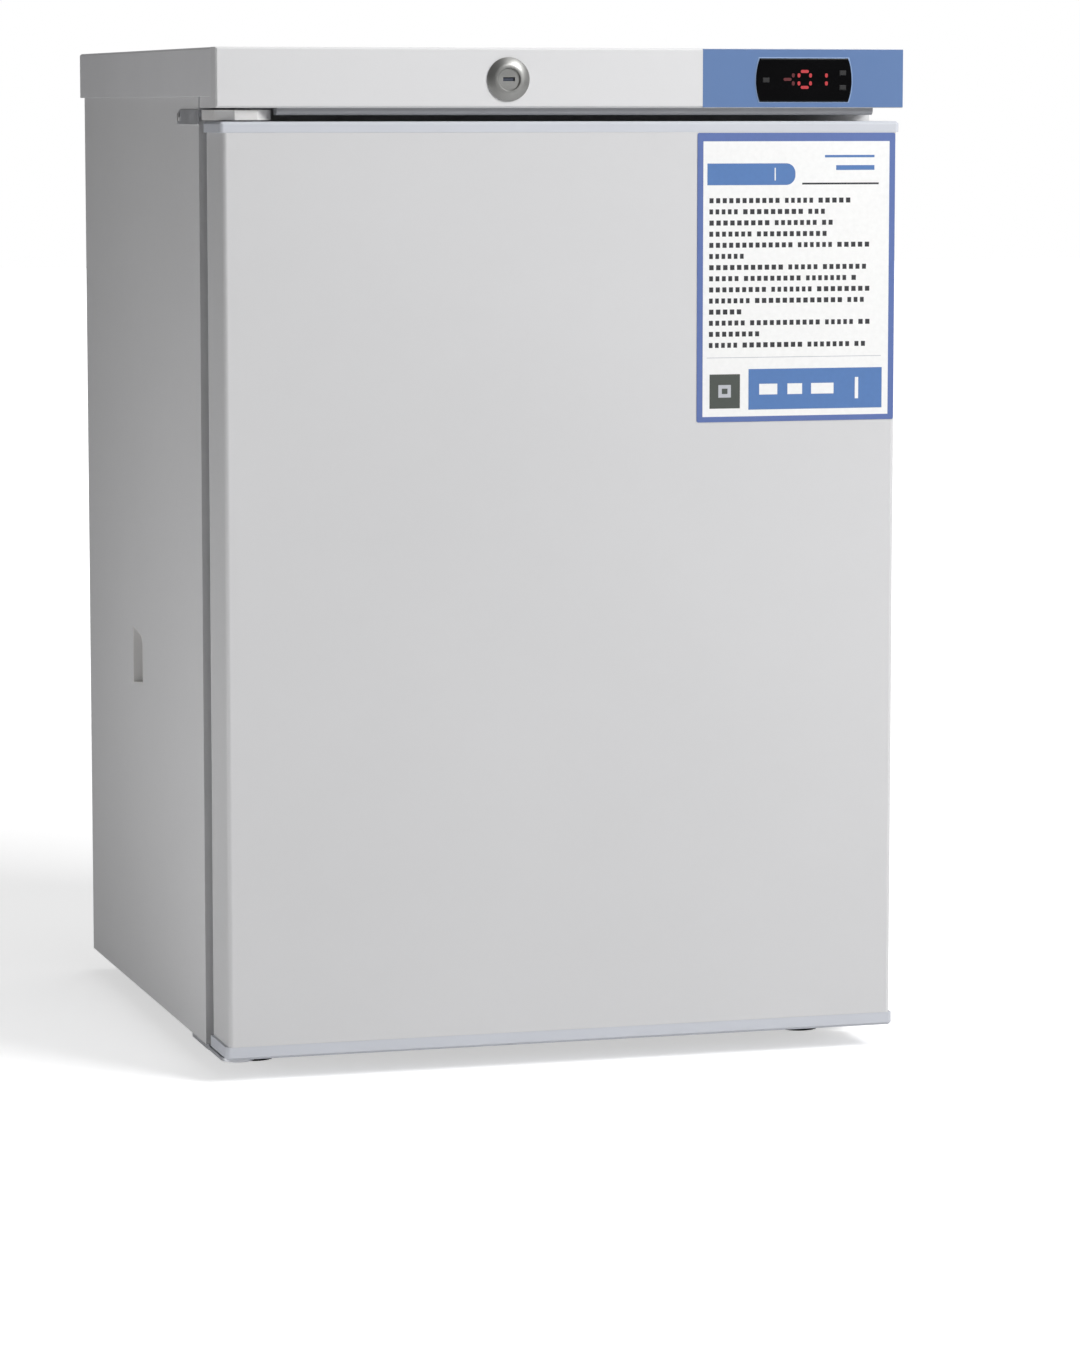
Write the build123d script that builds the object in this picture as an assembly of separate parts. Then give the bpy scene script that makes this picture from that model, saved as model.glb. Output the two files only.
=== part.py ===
from build123d import *
from math import asin, cos, radians, sin, sqrt, tan
import os

# Undercounter laboratory deep freezer.
# The origin is on the floor, below the middle of the whole object.
# +X is to the right of someone facing the door, +Y is to the back, +Z is up.
# All sizes are millimetres and all angles are degrees.

# Overall sizes
overall_width = 590.0
overall_depth = 608.0
overall_height = 850.0
foot_height = 20.0

# Gaps between pieces
touch_gap = 0.3
running_gap = 0.06
skirt_gap = 0.5

# Sheet and wall thicknesses
sheet = 1.0
worktop_wall = 2.0
fascia_wall = 2.0
liner_wall = 2.0
cup_wall = 1.5

# Flat sides of the small prisms that stand for wires, tubes and small round pieces
wire_sides = 4
few_sides = 6
round_sides = 16
rim_sides = 32

# Worktop
skirt_height = 40.0
worktop_corner = 5.0
worktop_edge = 1.5
worktop_rib_height = 10.0
worktop_rib_width = 3.0
worktop_rib_count = 5
worktop_back_overhang = 12.0
wall_clearance = 24.0

# Fascia in front of the worktop
fascia_height = 49.0
fascia_return = 17.0
fascia_edge = 1.5
fascia_floor_gap = 4.0

# Blue control panel and the controller in it
panel_width = 177.0
panel_thickness = 0.8
panel_margin = 0.5
window_inset = 88.5
window_drop = 26.0
window_straight = 78.0
window_bulge = 3.2
window_height = 36.0
window_thickness = 3.5
window_stand = 1.5
window_edge = 0.8
controller_width = 71.0
controller_height = 29.0
controller_length = 55.0
terminal_step = 12.0
key_width = 6.0
key_height = 4.0
key_flange = 0.7
key_flange_thickness = 0.9
key_stand = 0.6
key_travel = 0.5
key_inset = 5.2
key_pitch = 12.0

# Key lock in the fascia
lock_x = -49.7
lock_drop = 25.7
lock_flange_radius = 18.0
lock_flange_height = 4.0
lock_rim = 1.3
lock_face_radius = 12.0
lock_barrel_radius = 12.5
lock_barrel_length = 36.0
lock_plug_radius = 9.0
lock_plug_recess = 1.6
lock_drive = 8.0
lock_nut_width = 32.0
lock_nut_thickness = 4.0
keyway_width = 10.0
keyway_height = 3.2
keyway_depth = 12.0
cam_length = 42.0
cam_width = 14.0
cam_thickness = 3.0
cam_slot_margin = 3.0
cam_screw_width = 9.0
cam_screw_height = 3.0

# Door
door_top_gap = 11.0
door_thickness = 60.0
door_side_inset = 0.5
door_edge = 4.0
cap_lip = 2.5
top_cap_height = 9.0
bottom_cap_height = 11.0
cap_spigot = 5.0
cap_edge = 2.0
strike_floor = 2.0
skin_return = 12.0
seal_gap = 16.0
gasket_base_width = 20.0
gasket_base_thickness = 4.0
gasket_neck_width = 9.0
gasket_head_width = 15.0
gasket_head_thickness = 5.5
gasket_end_margin = 14.0
dyke_clearance = 12.0
dyke_width = 26.0
dyke_reach = 35.0
dyke_draft = 4.0
dyke_corner = 14.0
grip_drop = 230.0
grip_length = 200.0
grip_mouth = 28.0
grip_depth = 20.0
grip_from_back = 12.0
grip_corner = 8.0
grip_flange = 4.0
grip_flange_thickness = 1.0

# Hinges on the left side of the door
hinge_inset = 16.0
hinge_pin_radius = 4.0
hinge_pin_reach = 10.0
hinge_plate = 3.0
hinge_tongue_width = 28.0
hinge_bracket_width = 60.0
hinge_leg_height = 34.0
hinge_lift = 3.5
hinge_drop = 2.0
bush_width = 14.0
bush_flange = 2.5
bush_flange_thickness = 1.5
bush_length = 13.0
cover_wall = 1.5
cover_gap = 1.5
cover_rise = 1.0
cover_width = 47.0
cover_back_gap = 6.0
cover_front_gap = 5.0
cover_corner = 14.0
ear_length = 82.0
ear_height = 12.0
ear_thickness = 1.3
ear_screw_back = 8.0
bottom_bracket_depth = 64.0

# Cabinet insulation and the bay for the compressor
side_insulation = 61.5
top_insulation = 87.0
floor_insulation = 74.0
back_insulation = 64.0
step_insulation = 60.0
bay_depth = 207.0
bay_height = 205.0
panel_flange = 22.0
liner_lip = 6.0
liner_corner = 8.0

# Refrigerated shelves
shelf_count = 3
shelf_above_step = 52.0
shelf_below_top = 138.0
shelf_setback = 45.0
shelf_back_gap = 30.0
coil_side_gap = 48.0
coil_loops = 3
coil_radius = 4.0
coil_bend = 12.0
shelf_wire_radius = 1.5
shelf_wire_count = 12
rail_reach = 10.0
rail_height = 10.0
rail_nose = 3.0
riser_wall_gap = 8.0
riser_bend = 12.0

# Air temperature probe in the cavity
probe_radius = 3.0
probe_length = 40.0
probe_clip_width = 12.0
probe_clip_reach = 9.0
probe_below_top = 58.0

# Probe port in the left side
port_back = 67.0
port_length = 40.0
port_bottom = 294.0
port_back_height = 49.0
port_front_height = 39.0
port_front_rise = 4.0
port_corner = 10.0
port_depth = 14.0
port_bore = 9.0
port_sleeve_wall = 2.0
port_plug_head = 11.0
port_plug_head_thickness = 5.0
port_plug_edge = 1.5

# Condenser on the back
condenser_side_gap = 77.5
condenser_top_gap = 58.0
condenser_above_bay = 74.0
condenser_loops = 4
condenser_stand = 15.0
condenser_radius = 2.5
condenser_bend = 15.0
condenser_wire_radius = 1.0
condenser_wire_count = 15
condenser_wire_inset = 26.0
condenser_wire_overhang = 10.0
line_offset = 18.0
line_bend = 12.0
clip_width = 14.0
clip_wall = 2.0
clip_foot = 24.0
spacer_width = 30.0
spacer_height = 40.0
spacer_inset = 30.5
spacer_drop = 100.0
spacer_wall = 3.0

# Compressor and the parts around it
tray_thickness = 1.5
tray_flange = 14.0
compressor_x = 60.0
compressor_back_gap = 42.0
compressor_length = 165.0
compressor_width = 125.0
compressor_height = 140.0
compressor_corner = 55.0
compressor_dome = 32.0
dome_lean = 28.0
compressor_lower_height = 73.0
seam_flange = 3.0
seam_thickness = 4.0
feet_extra_length = 35.0
feet_side_inset = 4.5
feet_thickness = 3.0
feet_corner = 16.0
grommet_radius = 11.0
grommet_height = 13.0
bolt_head_width = 13.0
bolt_head_height = 5.0
terminal_width = 58.0
terminal_depth = 30.0
terminal_height = 52.0
terminal_edge = 4.0
suction_radius = 4.0
suction_reach = 34.0
suction_rise = 18.0
discharge_rise = 31.0
discharge_run = 20.0
discharge_from_side = 60.0
drier_radius = 11.0
drier_length = 90.0
drier_cone = 14.0
drier_neck = 4.0
drier_drop = 40.0
drier_inset = 40.0
capillary_radius = 1.5
capillary_offset = 48.0
capillary_drop = 18.0

# Mains inlet on a tab of the tray
inlet_width = 22.0
inlet_height = 50.0
inlet_flange_thickness = 2.5
inlet_body_width = 20.0
inlet_body_height = 28.0
inlet_body_depth = 22.0
inlet_socket_width = 16.0
inlet_socket_height = 24.0
inlet_socket_depth = 16.0
inlet_socket_corner = 4.0
inlet_pin_width = 2.0
inlet_pin_height = 4.0
inlet_pin_spread = 7.0
inlet_pin_offset = 2.0
inlet_rise = 44.0
inlet_tab_margin = 4.0
inlet_screw_spread = 40.0

# Levelling feet
foot_inset_x = 48.0
foot_inset_front = 34.0
foot_inset_back = 33.0
foot_pad_radius = 18.0
foot_pad_thickness = 5.0
foot_pad_edge = 2.0
foot_neck_width = 17.0
foot_neck_height = 5.0
foot_stud_radius = 4.0
foot_stud_rise = 14.0
foot_hole_gap = 0.6
foot_nut_width = 13.0
foot_nut_height = 8.0

# Small screws
screw_head_width = 8.0
screw_head_height = 2.0

# Planes and faces worked out from the sizes above
half_width = overall_width / 2
front_y = -overall_depth / 2 + lock_flange_height
wall_y = overall_depth / 2
worktop_back = wall_y - wall_clearance
worktop_front = front_y + fascia_return
skirt_bottom = overall_height - skirt_height
cabinet_half = half_width - worktop_wall - skirt_gap
cabinet_back = worktop_back - worktop_back_overhang
cabinet_top = overall_height - worktop_wall - worktop_rib_height
base_z = foot_height
fascia_bottom = overall_height - fascia_height

door_top = fascia_bottom - door_top_gap
door_bottom = base_z
door_back = front_y + door_thickness
door_half = cabinet_half - door_side_inset
skin_half = door_half - cap_lip
skin_top = door_top - top_cap_height
skin_bottom = door_bottom + bottom_cap_height
flange_y = door_back - liner_wall
cabinet_front = door_back + seal_gap
hinge_x = -(door_half - hinge_inset)
hinge_y = front_y + door_thickness / 2
tongue_low = door_top + hinge_lift
tongue_top = tongue_low + hinge_plate
grip_height = door_top - grip_drop
gasket_half = door_half - hinge_inset
gasket_low = door_bottom + gasket_end_margin
gasket_high = door_top - gasket_end_margin
gasket_depth = seal_gap - touch_gap

inner_half = cabinet_half - sheet
liner_half = inner_half - side_insulation
liner_top = cabinet_top - sheet - top_insulation
liner_floor = base_z + sheet + floor_insulation
liner_back = cabinet_back - 2 * sheet - back_insulation
bay_front = cabinet_back - sheet - bay_depth
bay_top = base_z + sheet + bay_height
bay_ceiling = bay_top - sheet
step_front = bay_front - step_insulation
step_top = bay_top + step_insulation
cavity_half = liner_half - liner_wall
cavity_top = liner_top - liner_wall
cavity_floor = liner_floor + liner_wall
cavity_back = liner_back - liner_wall
cavity_step_front = step_front - liner_wall
cavity_step_top = step_top + liner_wall

first_level = cavity_step_top + shelf_above_step
shelf_spacing = (cavity_top - shelf_below_top - first_level) / (shelf_count - 1)
shelf_levels = [first_level + i * shelf_spacing for i in range(shelf_count)]
shelf_front = cabinet_front + shelf_setback
shelf_back = cavity_back - shelf_back_gap
coil_half = cavity_half - coil_side_gap
rail_rise = coil_radius + touch_gap

condenser_half = cabinet_half - condenser_side_gap
condenser_y = cabinet_back + condenser_stand
condenser_high = cabinet_top - condenser_top_gap
condenser_low = bay_top + condenser_above_bay
condenser_pitch = (condenser_high - condenser_low) / (2 * condenser_loops)
condenser_wire_half = condenser_half - condenser_wire_inset
condenser_wire_pitch = 2 * condenser_wire_half / (condenser_wire_count - 1)
line_x = condenser_half + line_offset

lock_z = overall_height - lock_drop
panel_left = half_width - panel_width
window_x = half_width - window_inset
window_z = overall_height - window_drop
cam_front = front_y + lock_barrel_length
cam_back = cam_front + cam_thickness
key_flange_back = front_y - window_stand + window_thickness - key_travel - running_gap
key_flange_front = key_flange_back - key_flange_thickness

tray_top = base_z + tray_thickness
compressor_y = cabinet_back - compressor_back_gap - compressor_width / 2
compressor_base = tray_top + grommet_height + feet_thickness
seam_z = compressor_base + compressor_lower_height
feet_length = compressor_length + feet_extra_length
feet_width = compressor_width - 2 * feet_side_inset
inlet_x = cabinet_half - panel_flange - inlet_width / 2 - inlet_tab_margin
inlet_z = tray_top + inlet_rise
inlet_back = cabinet_back - sheet

foot_x = cabinet_half - foot_inset_x
foot_front_y = cabinet_front + foot_inset_front
foot_back_y = cabinet_back - foot_inset_back
foot_top = base_z + foot_stud_rise
foot_places = {
    "front_left": (-foot_x, foot_front_y),
    "front_right": (foot_x, foot_front_y),
    "back_left": (-foot_x, foot_back_y),
    "back_right": (foot_x, foot_back_y),
}
key_reach = window_straight / 2 - key_inset
key_places = {
    "key_set": (window_x - key_reach, window_z),
    "key_up": (window_x + key_reach, window_z + key_pitch / 2),
    "key_down": (window_x + key_reach, window_z - key_pitch / 2),
}


# Shapes that many pieces share

def block(x, y, z):
    """Rectangular block between the two ends given for each axis."""
    size = Box(x[1] - x[0], y[1] - y[0], z[1] - z[0])
    return Pos((x[0] + x[1]) / 2, (y[0] + y[1]) / 2, (z[0] + z[1]) / 2) * size


def both(reach):
    """The two ends of a span that is even about the middle plane."""
    return (-reach, reach)


def span(middle, width):
    """The two ends of a span about its middle."""
    return (middle - width / 2, middle + width / 2)


def facing_front(x, y, z):
    """Plane that faces the front, with X to the right and Z up."""
    return Plane(origin=(x, y, z), x_dir=(1, 0, 0), z_dir=(0, -1, 0))


def facing_right(x, y, z):
    """Plane that faces the right side, with Y to the right and Z up."""
    return Plane(origin=(x, y, z), x_dir=(0, 1, 0), z_dir=(1, 0, 0))


def disc(radius, sides):
    """Round outline, or one with flat sides where a number of them is given."""
    return RegularPolygon(radius, sides) if sides else Circle(radius)


def rod_x(radius, x, y, z, sides=0):
    """Rod along X between two ends."""
    return extrude(facing_right(x[0], y, z) * disc(radius, sides), x[1] - x[0])


def rod_y(radius, y, x, z, sides=0):
    """Rod along Y between two ends."""
    return extrude(facing_front(x, y[1], z) * disc(radius, sides), y[1] - y[0])


def rod_z(radius, z, x, y, sides=0):
    """Rod along Z between two ends."""
    return Pos(x, y, z[0]) * extrude(disc(radius, sides), z[1] - z[0])


def hexagon(width):
    """Hexagon given by its width across flats."""
    return RegularPolygon(width / 2, 6, major_radius=False)


def hexagon_z(width, z, x, y):
    """Hexagonal prism along Z."""
    return Pos(x, y, z[0]) * extrude(hexagon(width), z[1] - z[0])


def hexagon_y(width, y, x, z):
    """Hexagonal prism along Y."""
    return extrude(facing_front(x, y[1], z) * hexagon(width), y[1] - y[0])


def pipe(points, radius, bend):
    """Tube along straight runs, a prism with a few flat sides whose bends turn in two steps."""
    cut = bend * (1 - tan(radians(22.5)))
    corners = [Vector(*point) for point in points]
    stops = [corners[0]]
    for before, corner, after in zip(corners, corners[1:], corners[2:]):
        stops.append(corner + (before - corner).normalized() * cut)
        stops.append(corner + (after - corner).normalized() * cut)
    path = Polyline(*stops, corners[-1])
    start = Plane(path @ 0, z_dir=path % 0)
    return sweep(start * RegularPolygon(radius, few_sides), path, transition=Transition.RIGHT)


def serpentine(along, across, passes):
    """Corners of a path that runs to and fro, as places along and across it."""
    corners = []
    for i in range(passes):
        step = across[0] + (across[1] - across[0]) * i / (passes - 1)
        ends = along if i % 2 == 0 else (along[1], along[0])
        corners += [(ends[0], step), (ends[1], step)]
    return corners


def window_outline(margin):
    """Outline of the display window: flat above and below, bulging at its ends."""
    half = window_straight / 2 + margin
    rise = window_height / 2 + margin
    top = Line((-half, rise), (half, rise))
    right = ThreePointArc((half, rise), (half + window_bulge, 0), (half, -rise))
    bottom = Line((half, -rise), (-half, -rise))
    left = ThreePointArc((-half, -rise), (-half - window_bulge, 0), (-half, rise))
    return make_face([top, right, bottom, left])


def window_cut(front, depth):
    """Opening for the display window through a wall."""
    return extrude(facing_front(window_x, front, window_z) * window_outline(touch_gap), -depth)


def cam_slot(low, high):
    """Room that the turning lock cam needs between two heights below the lock."""
    corner = sqrt(cam_length ** 2 + (cam_width / 2) ** 2)
    drop = min((lock_z - high) / corner, 1)
    reach = max(corner * cos(asin(drop)), cam_width / 2)
    x = (lock_x - cam_width / 2 - cam_slot_margin, lock_x + reach + cam_slot_margin)
    return block(x, (cam_front - cam_slot_margin, cam_back + cam_slot_margin), (low, high))


# Worktop and fascia

def make_worktop():
    """Moulded worktop tray: flat top, skirts on three sides and ribs that rest on the cabinet."""
    under = overall_height - worktop_wall
    tray = block(both(half_width), (worktop_front, worktop_back), (skirt_bottom, overall_height))
    tray = fillet(tray.edges().filter_by(Axis.Z).group_by(Axis.Y)[-1], worktop_corner)
    rim = tray.faces().sort_by(Axis.Z)[-1].edges()
    tray = chamfer(rim.filter_by(lambda edge: edge.center().Y > worktop_front), worktop_edge)
    inside = (worktop_front, worktop_back - worktop_wall)
    tray -= block(both(half_width - worktop_wall), inside, (skirt_bottom, under))
    pitch = 2 * (cabinet_half - worktop_rib_width) / (worktop_rib_count - 1)
    for i in range(worktop_rib_count):
        x = span(-cabinet_half + worktop_rib_width + i * pitch, worktop_rib_width)
        tray += block(x, (cabinet_front, cabinet_back), (cabinet_top, under))
    return tray


def make_fascia():
    """Folded fascia: front face, top and side returns, and a floor with cheeks behind it."""
    shell = block(both(half_width), (front_y, worktop_front), (fascia_bottom, overall_height))
    shell = chamfer(shell.faces().sort_by(Axis.Y)[0].edges(), fascia_edge)
    under = overall_height - fascia_wall
    floor = (fascia_bottom, fascia_bottom + fascia_wall)
    room = (front_y + fascia_wall, worktop_front)
    shell -= block(both(half_width - fascia_wall), room, (floor[1], under))
    behind = (worktop_front, cabinet_front - fascia_floor_gap)
    shell += block(both(cabinet_half), behind, floor)
    for side in (-1, 1):
        cheek = sorted((side * cabinet_half, side * (cabinet_half - fascia_wall)))
        shell += block(cheek, behind, (fascia_bottom, cabinet_top))
    pocket_z = (fascia_bottom + panel_margin, overall_height - panel_margin)
    shell -= block((panel_left, half_width), (front_y, front_y + panel_thickness), pocket_z)
    shell -= window_cut(front_y, fascia_wall)
    shell -= rod_y(lock_barrel_radius, (front_y, front_y + fascia_wall), lock_x, lock_z)
    return shell - cam_slot(*floor)


def make_control_panel():
    """Thin blue plate let into the right of the fascia, cut out for the display window."""
    z = (fascia_bottom + panel_margin, overall_height - panel_margin)
    plate = block((panel_left, half_width - panel_margin), (front_y, front_y + panel_thickness), z)
    return plate - window_cut(front_y, panel_thickness)


def key_block(margin, y, x, z):
    """Rectangular piece of a key, or the hole for it with a margin all round."""
    return block(span(x, key_width + 2 * margin), y, span(z, key_height + 2 * margin))


def make_window():
    """Front of the controller: a dark window with bevelled edges and stepped holes for the keys."""
    front = front_y - window_stand
    back = front + window_thickness
    lens = extrude(facing_front(window_x, front, window_z) * window_outline(0), -window_thickness)
    lens = chamfer(lens.faces().sort_by(Axis.Y)[0].edges(), window_edge)
    for x, z in key_places.values():
        lens -= key_block(running_gap, (front, back), x, z)
        lens -= key_block(key_flange + running_gap, (key_flange_front - running_gap, back), x, z)
    return lens


def make_key(place):
    """One key: a cap through the window and a flange that keeps it in."""
    x, z = place
    cap = key_block(0, (front_y - window_stand - key_stand, key_flange_back), x, z)
    cap = chamfer(cap.faces().sort_by(Axis.Y)[0].edges(), key_stand / 2)
    return cap + key_block(key_flange, (key_flange_front, key_flange_back), x, z)


def make_controller():
    """Controller body behind the window, stepped down and slotted for its terminals."""
    front = front_y - window_stand + window_thickness
    back = front + controller_length
    x = span(window_x, controller_width)
    z = span(window_z, controller_height)
    body = block(x, (front, back), z)
    body -= block(x, (back - terminal_step, back), (window_z, z[1]))
    pitch = controller_width / 8
    for i in range(1, 8):
        slot = span(x[0] + i * pitch, pitch / 2)
        body -= block(slot, (back - terminal_step / 2, back), (window_z - controller_height / 4, window_z))
    return body


# Lock

def make_lock_barrel():
    """Lock barrel with its coned round flange, bored for the plug."""
    face = front_y - lock_flange_height
    back = front_y + lock_barrel_length
    flange = rod_y(lock_flange_radius, (face, front_y), lock_x, lock_z, rim_sides)
    front = flange.faces().sort_by(Axis.Y)[0]
    cone = (lock_flange_radius - lock_face_radius, lock_flange_height - lock_rim)
    flange = chamfer(front.edges(), *cone, reference=front)
    barrel = rod_y(lock_barrel_radius, (front_y, back), lock_x, lock_z, rim_sides)
    return flange + barrel - rod_y(lock_plug_radius + running_gap, (face, back), lock_x, lock_z)


def make_lock_plug():
    """Turning plug with its keyway, a square end for the cam and the screw that holds it."""
    face = front_y - lock_flange_height + lock_plug_recess
    plug = rod_y(lock_plug_radius, (face, cam_front), lock_x, lock_z)
    keyway = Rectangle(keyway_width, keyway_height)
    plug -= extrude(facing_front(lock_x, face, lock_z) * keyway, -keyway_depth)
    square = block(span(lock_x, lock_drive), (cam_front, cam_back), span(lock_z, lock_drive))
    screw = hexagon_y(cam_screw_width, (cam_back, cam_back + cam_screw_height), lock_x, lock_z)
    return plug + square + screw


def make_lock_cam():
    """Flat cam on the back of the plug. It lies to the right and turns down into the door."""
    outline = Pos(cam_length / 2, 0) * Rectangle(cam_length, cam_width) + disc(lock_plug_radius, round_sides)
    outline = chamfer(outline.vertices().group_by(Axis.X)[-1], cam_width / 4)
    outline -= Rectangle(lock_drive, lock_drive)
    return extrude(facing_front(lock_x, cam_front, lock_z) * outline, -cam_thickness)


# Door

def channel_outline(inset):
    """Outline of the door's sheet channel seen from above, set in from its outside."""
    depth = flange_y - front_y - 2 * inset
    outline = Pos(0, front_y + inset + depth / 2) * Rectangle(2 * (skin_half - inset), depth)
    return fillet(outline.vertices().group_by(Axis.Y)[0], door_edge - inset)


def grip_pocket(margin, start, depth):
    """Rounded pocket for the fingers, cut inwards from a plane beside the door's free side."""
    y = door_back - grip_from_back - grip_mouth / 2
    outline = RectangleRounded(grip_mouth + 2 * margin, grip_length + 2 * margin, grip_corner + margin)
    return extrude(facing_right(start, y, grip_height) * outline, -depth)


def make_door_skin():
    """Outer sheet of the door: front, rounded front corners, sides and narrow returns behind."""
    mouth = Pos(0, flange_y) * Rectangle(2 * (skin_half - skin_return), 4 * sheet)
    profile = channel_outline(0) - channel_outline(sheet) - mouth
    skin = Pos(0, 0, skin_bottom) * extrude(profile, skin_top - skin_bottom)
    return skin - grip_pocket(cup_wall, skin_half, sheet)


def spigot_block(z):
    """Inner part of an end cap, which fits inside the door's skin."""
    reach = sheet + touch_gap
    return block(both(skin_half - reach), (front_y + reach + door_edge / 2, flange_y - reach), z)


def cap_solid(z, outer_z, spigot_z):
    """End cap of the door: a lid with bevelled outer edges and a spigot inside the skin."""
    lid = block(both(door_half), (front_y, door_back), z)
    lid = fillet(lid.edges().filter_by(Axis.Z).group_by(Axis.Y)[0], door_edge)
    outer = lid.faces().filter_by(Axis.Z).sort_by(lambda face: abs(face.center().Z - outer_z))[0]
    rim = outer.edges().filter_by(lambda edge: edge.center().Y < door_back)
    return chamfer(rim, cap_edge) + spigot_block(spigot_z)


def bush_hole(z):
    """Six-sided hole for a hinge bush, on the hinge's axis."""
    return hexagon_z(bush_width, z, hinge_x, hinge_y)


def make_top_cap():
    """Top cap of the door, with the slot that the lock cam turns down into."""
    low = skin_top - cap_spigot
    cap = cap_solid((skin_top, door_top), door_top, (low, skin_top))
    return cap - cam_slot(low + strike_floor, door_top) - bush_hole((low, door_top))


def make_bottom_cap():
    """Bottom cap of the door, with the hole for the lower hinge bush."""
    high = skin_bottom + cap_spigot
    cap = cap_solid((door_bottom, skin_bottom), door_bottom, (skin_bottom, high))
    return cap - bush_hole((door_bottom, high))


def make_door_liner():
    """Moulded inner liner of the door: flat flange, raised ring and a plain middle."""
    half = cavity_half - dyke_clearance
    height = cavity_top - cavity_floor - 2 * dyke_clearance
    lean = dyke_reach * sin(radians(dyke_draft))
    inner_size = (2 * (half - dyke_width - lean), height - 2 * (dyke_width + lean))
    middle = Plane(origin=(0, door_back, (cavity_top + cavity_floor) / 2), x_dir=(1, 0, 0), z_dir=(0, 1, 0))
    outer = extrude(middle * RectangleRounded(2 * half, height, dyke_corner), dyke_reach, taper=dyke_draft)
    hole = middle.offset(dyke_reach) * RectangleRounded(*inner_size, dyke_corner)
    ring = outer - extrude(hole, -dyke_reach, taper=dyke_draft)
    return block(both(skin_half), (flange_y, door_back), (skin_bottom, skin_top)) + ring


def make_door_foam():
    """Foam core of the door between the skin, the caps and the liner."""
    low = skin_bottom + cap_spigot
    high = skin_top - cap_spigot
    core = Pos(0, 0, low) * extrude(channel_outline(sheet), high - low)
    core += block(both(skin_half - skin_return), (flange_y - sheet, flange_y), (low, high))
    return core - grip_pocket(cup_wall, skin_half, grip_depth + cup_wall)


def make_gasket():
    """Magnetic door seal: a wide foot, a narrow neck and a head that meets the cabinet."""
    foot_end = door_back + gasket_base_thickness
    head_start = door_back + gasket_depth - gasket_head_thickness
    layers = (
        (gasket_base_width, door_back, foot_end),
        (gasket_neck_width, foot_end, head_start),
        (gasket_head_width, head_start, door_back + gasket_depth),
    )
    middle = (gasket_low + gasket_high) / 2
    seal = Part()
    for width, start, end in layers:
        inset = (gasket_base_width - width) / 2
        outer = (2 * (gasket_half - inset), gasket_high - gasket_low - 2 * inset)
        inner = (outer[0] - 2 * width, outer[1] - 2 * width)
        profile = Rectangle(*outer) - Rectangle(*inner)
        seal += extrude(facing_front(0, end, middle) * profile, end - start)
    return seal


def make_grip():
    """Moulded finger cup in the free side of the door, with a thin flange round its mouth."""
    face = skin_half + grip_flange_thickness
    cup = grip_pocket(cup_wall, skin_half, grip_depth + cup_wall)
    cup += grip_pocket(grip_flange, face, grip_flange_thickness)
    return cup - grip_pocket(0, face, grip_depth + grip_flange_thickness)


def make_bushes():
    """The two flanged hinge bushes, one in each end cap of the door."""
    top_z = (door_top - bush_length, door_top + bush_flange_thickness)
    top = bush_hole((top_z[0], door_top))
    top += hexagon_z(bush_width + 2 * bush_flange, (door_top, top_z[1]), hinge_x, hinge_y)
    low_z = (door_bottom - bush_flange_thickness, door_bottom + bush_length)
    bottom = bush_hole((door_bottom, low_z[1]))
    bottom += hexagon_z(bush_width + 2 * bush_flange, (low_z[0], door_bottom), hinge_x, hinge_y)
    bore = hinge_pin_radius + running_gap
    return Compound([top - rod_z(bore, top_z, hinge_x, hinge_y), bottom - rod_z(bore, low_z, hinge_x, hinge_y)])


# Hinge brackets

def hinge_tongue(z):
    """Tongue of a hinge bracket from the cabinet to beyond the pin, round about the pin."""
    reach = block(span(hinge_x, hinge_tongue_width), (hinge_y, cabinet_front), z)
    tongue = reach + rod_z(hinge_tongue_width / 2, z, hinge_x, hinge_y, round_sides)
    return tongue - rod_z(hinge_pin_radius, z, hinge_x, hinge_y)


def bracket_screw_places():
    """Places of the two screws through the upper bracket's leg, as X and Z."""
    middle = -cabinet_half + hinge_bracket_width / 2
    z = tongue_low + hinge_leg_height * 0.7
    return [(middle + side * hinge_bracket_width / 4, z) for side in (-1, 1)]


def make_top_bracket():
    """Upper hinge bracket: leg on the cabinet, tongue over the door and an ear on the side."""
    left = -cabinet_half
    leg_front = cabinet_front - hinge_plate
    leg_z = (tongue_low, tongue_low + hinge_leg_height)
    leg = block((left, left + hinge_bracket_width), (leg_front, cabinet_front), leg_z)
    outline = Rectangle(ear_length, ear_height)
    back_top = outline.vertices().group_by(Axis.X)[0].sort_by(Axis.Y)[-1]
    outline = fillet(back_top, ear_height * 0.9)
    side = Plane(origin=(left, leg_front + ear_length / 2, tongue_low), x_dir=(0, -1, 0), z_dir=(-1, 0, 0))
    ear = extrude(side * outline, ear_thickness)
    return hinge_tongue((tongue_low, tongue_top)) + leg + ear


def make_bottom_bracket():
    """Lower hinge bracket: a plate below the cabinet that carries the door on its pin."""
    top = door_bottom - hinge_drop
    low = top - hinge_plate
    x = (-cabinet_half + hinge_drop, -cabinet_half + hinge_drop + hinge_bracket_width)
    foot = block(x, (cabinet_front, cabinet_front + bottom_bracket_depth), (low, base_z))
    foot_hole = rod_z(foot_stud_radius + foot_hole_gap, (low, base_z), *foot_places["front_left"])
    return hinge_tongue((low, top)) + foot - foot_hole


def make_pins():
    """The two hinge pins, riveted in the brackets and reaching into the door's bushes."""
    low = door_bottom - hinge_drop - hinge_plate
    top_pin = rod_z(hinge_pin_radius, (door_top - hinge_pin_reach, tongue_top), hinge_x, hinge_y)
    bottom_pin = rod_z(hinge_pin_radius, (low, door_bottom + hinge_pin_reach), hinge_x, hinge_y)
    return Compound([top_pin, bottom_pin])


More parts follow.
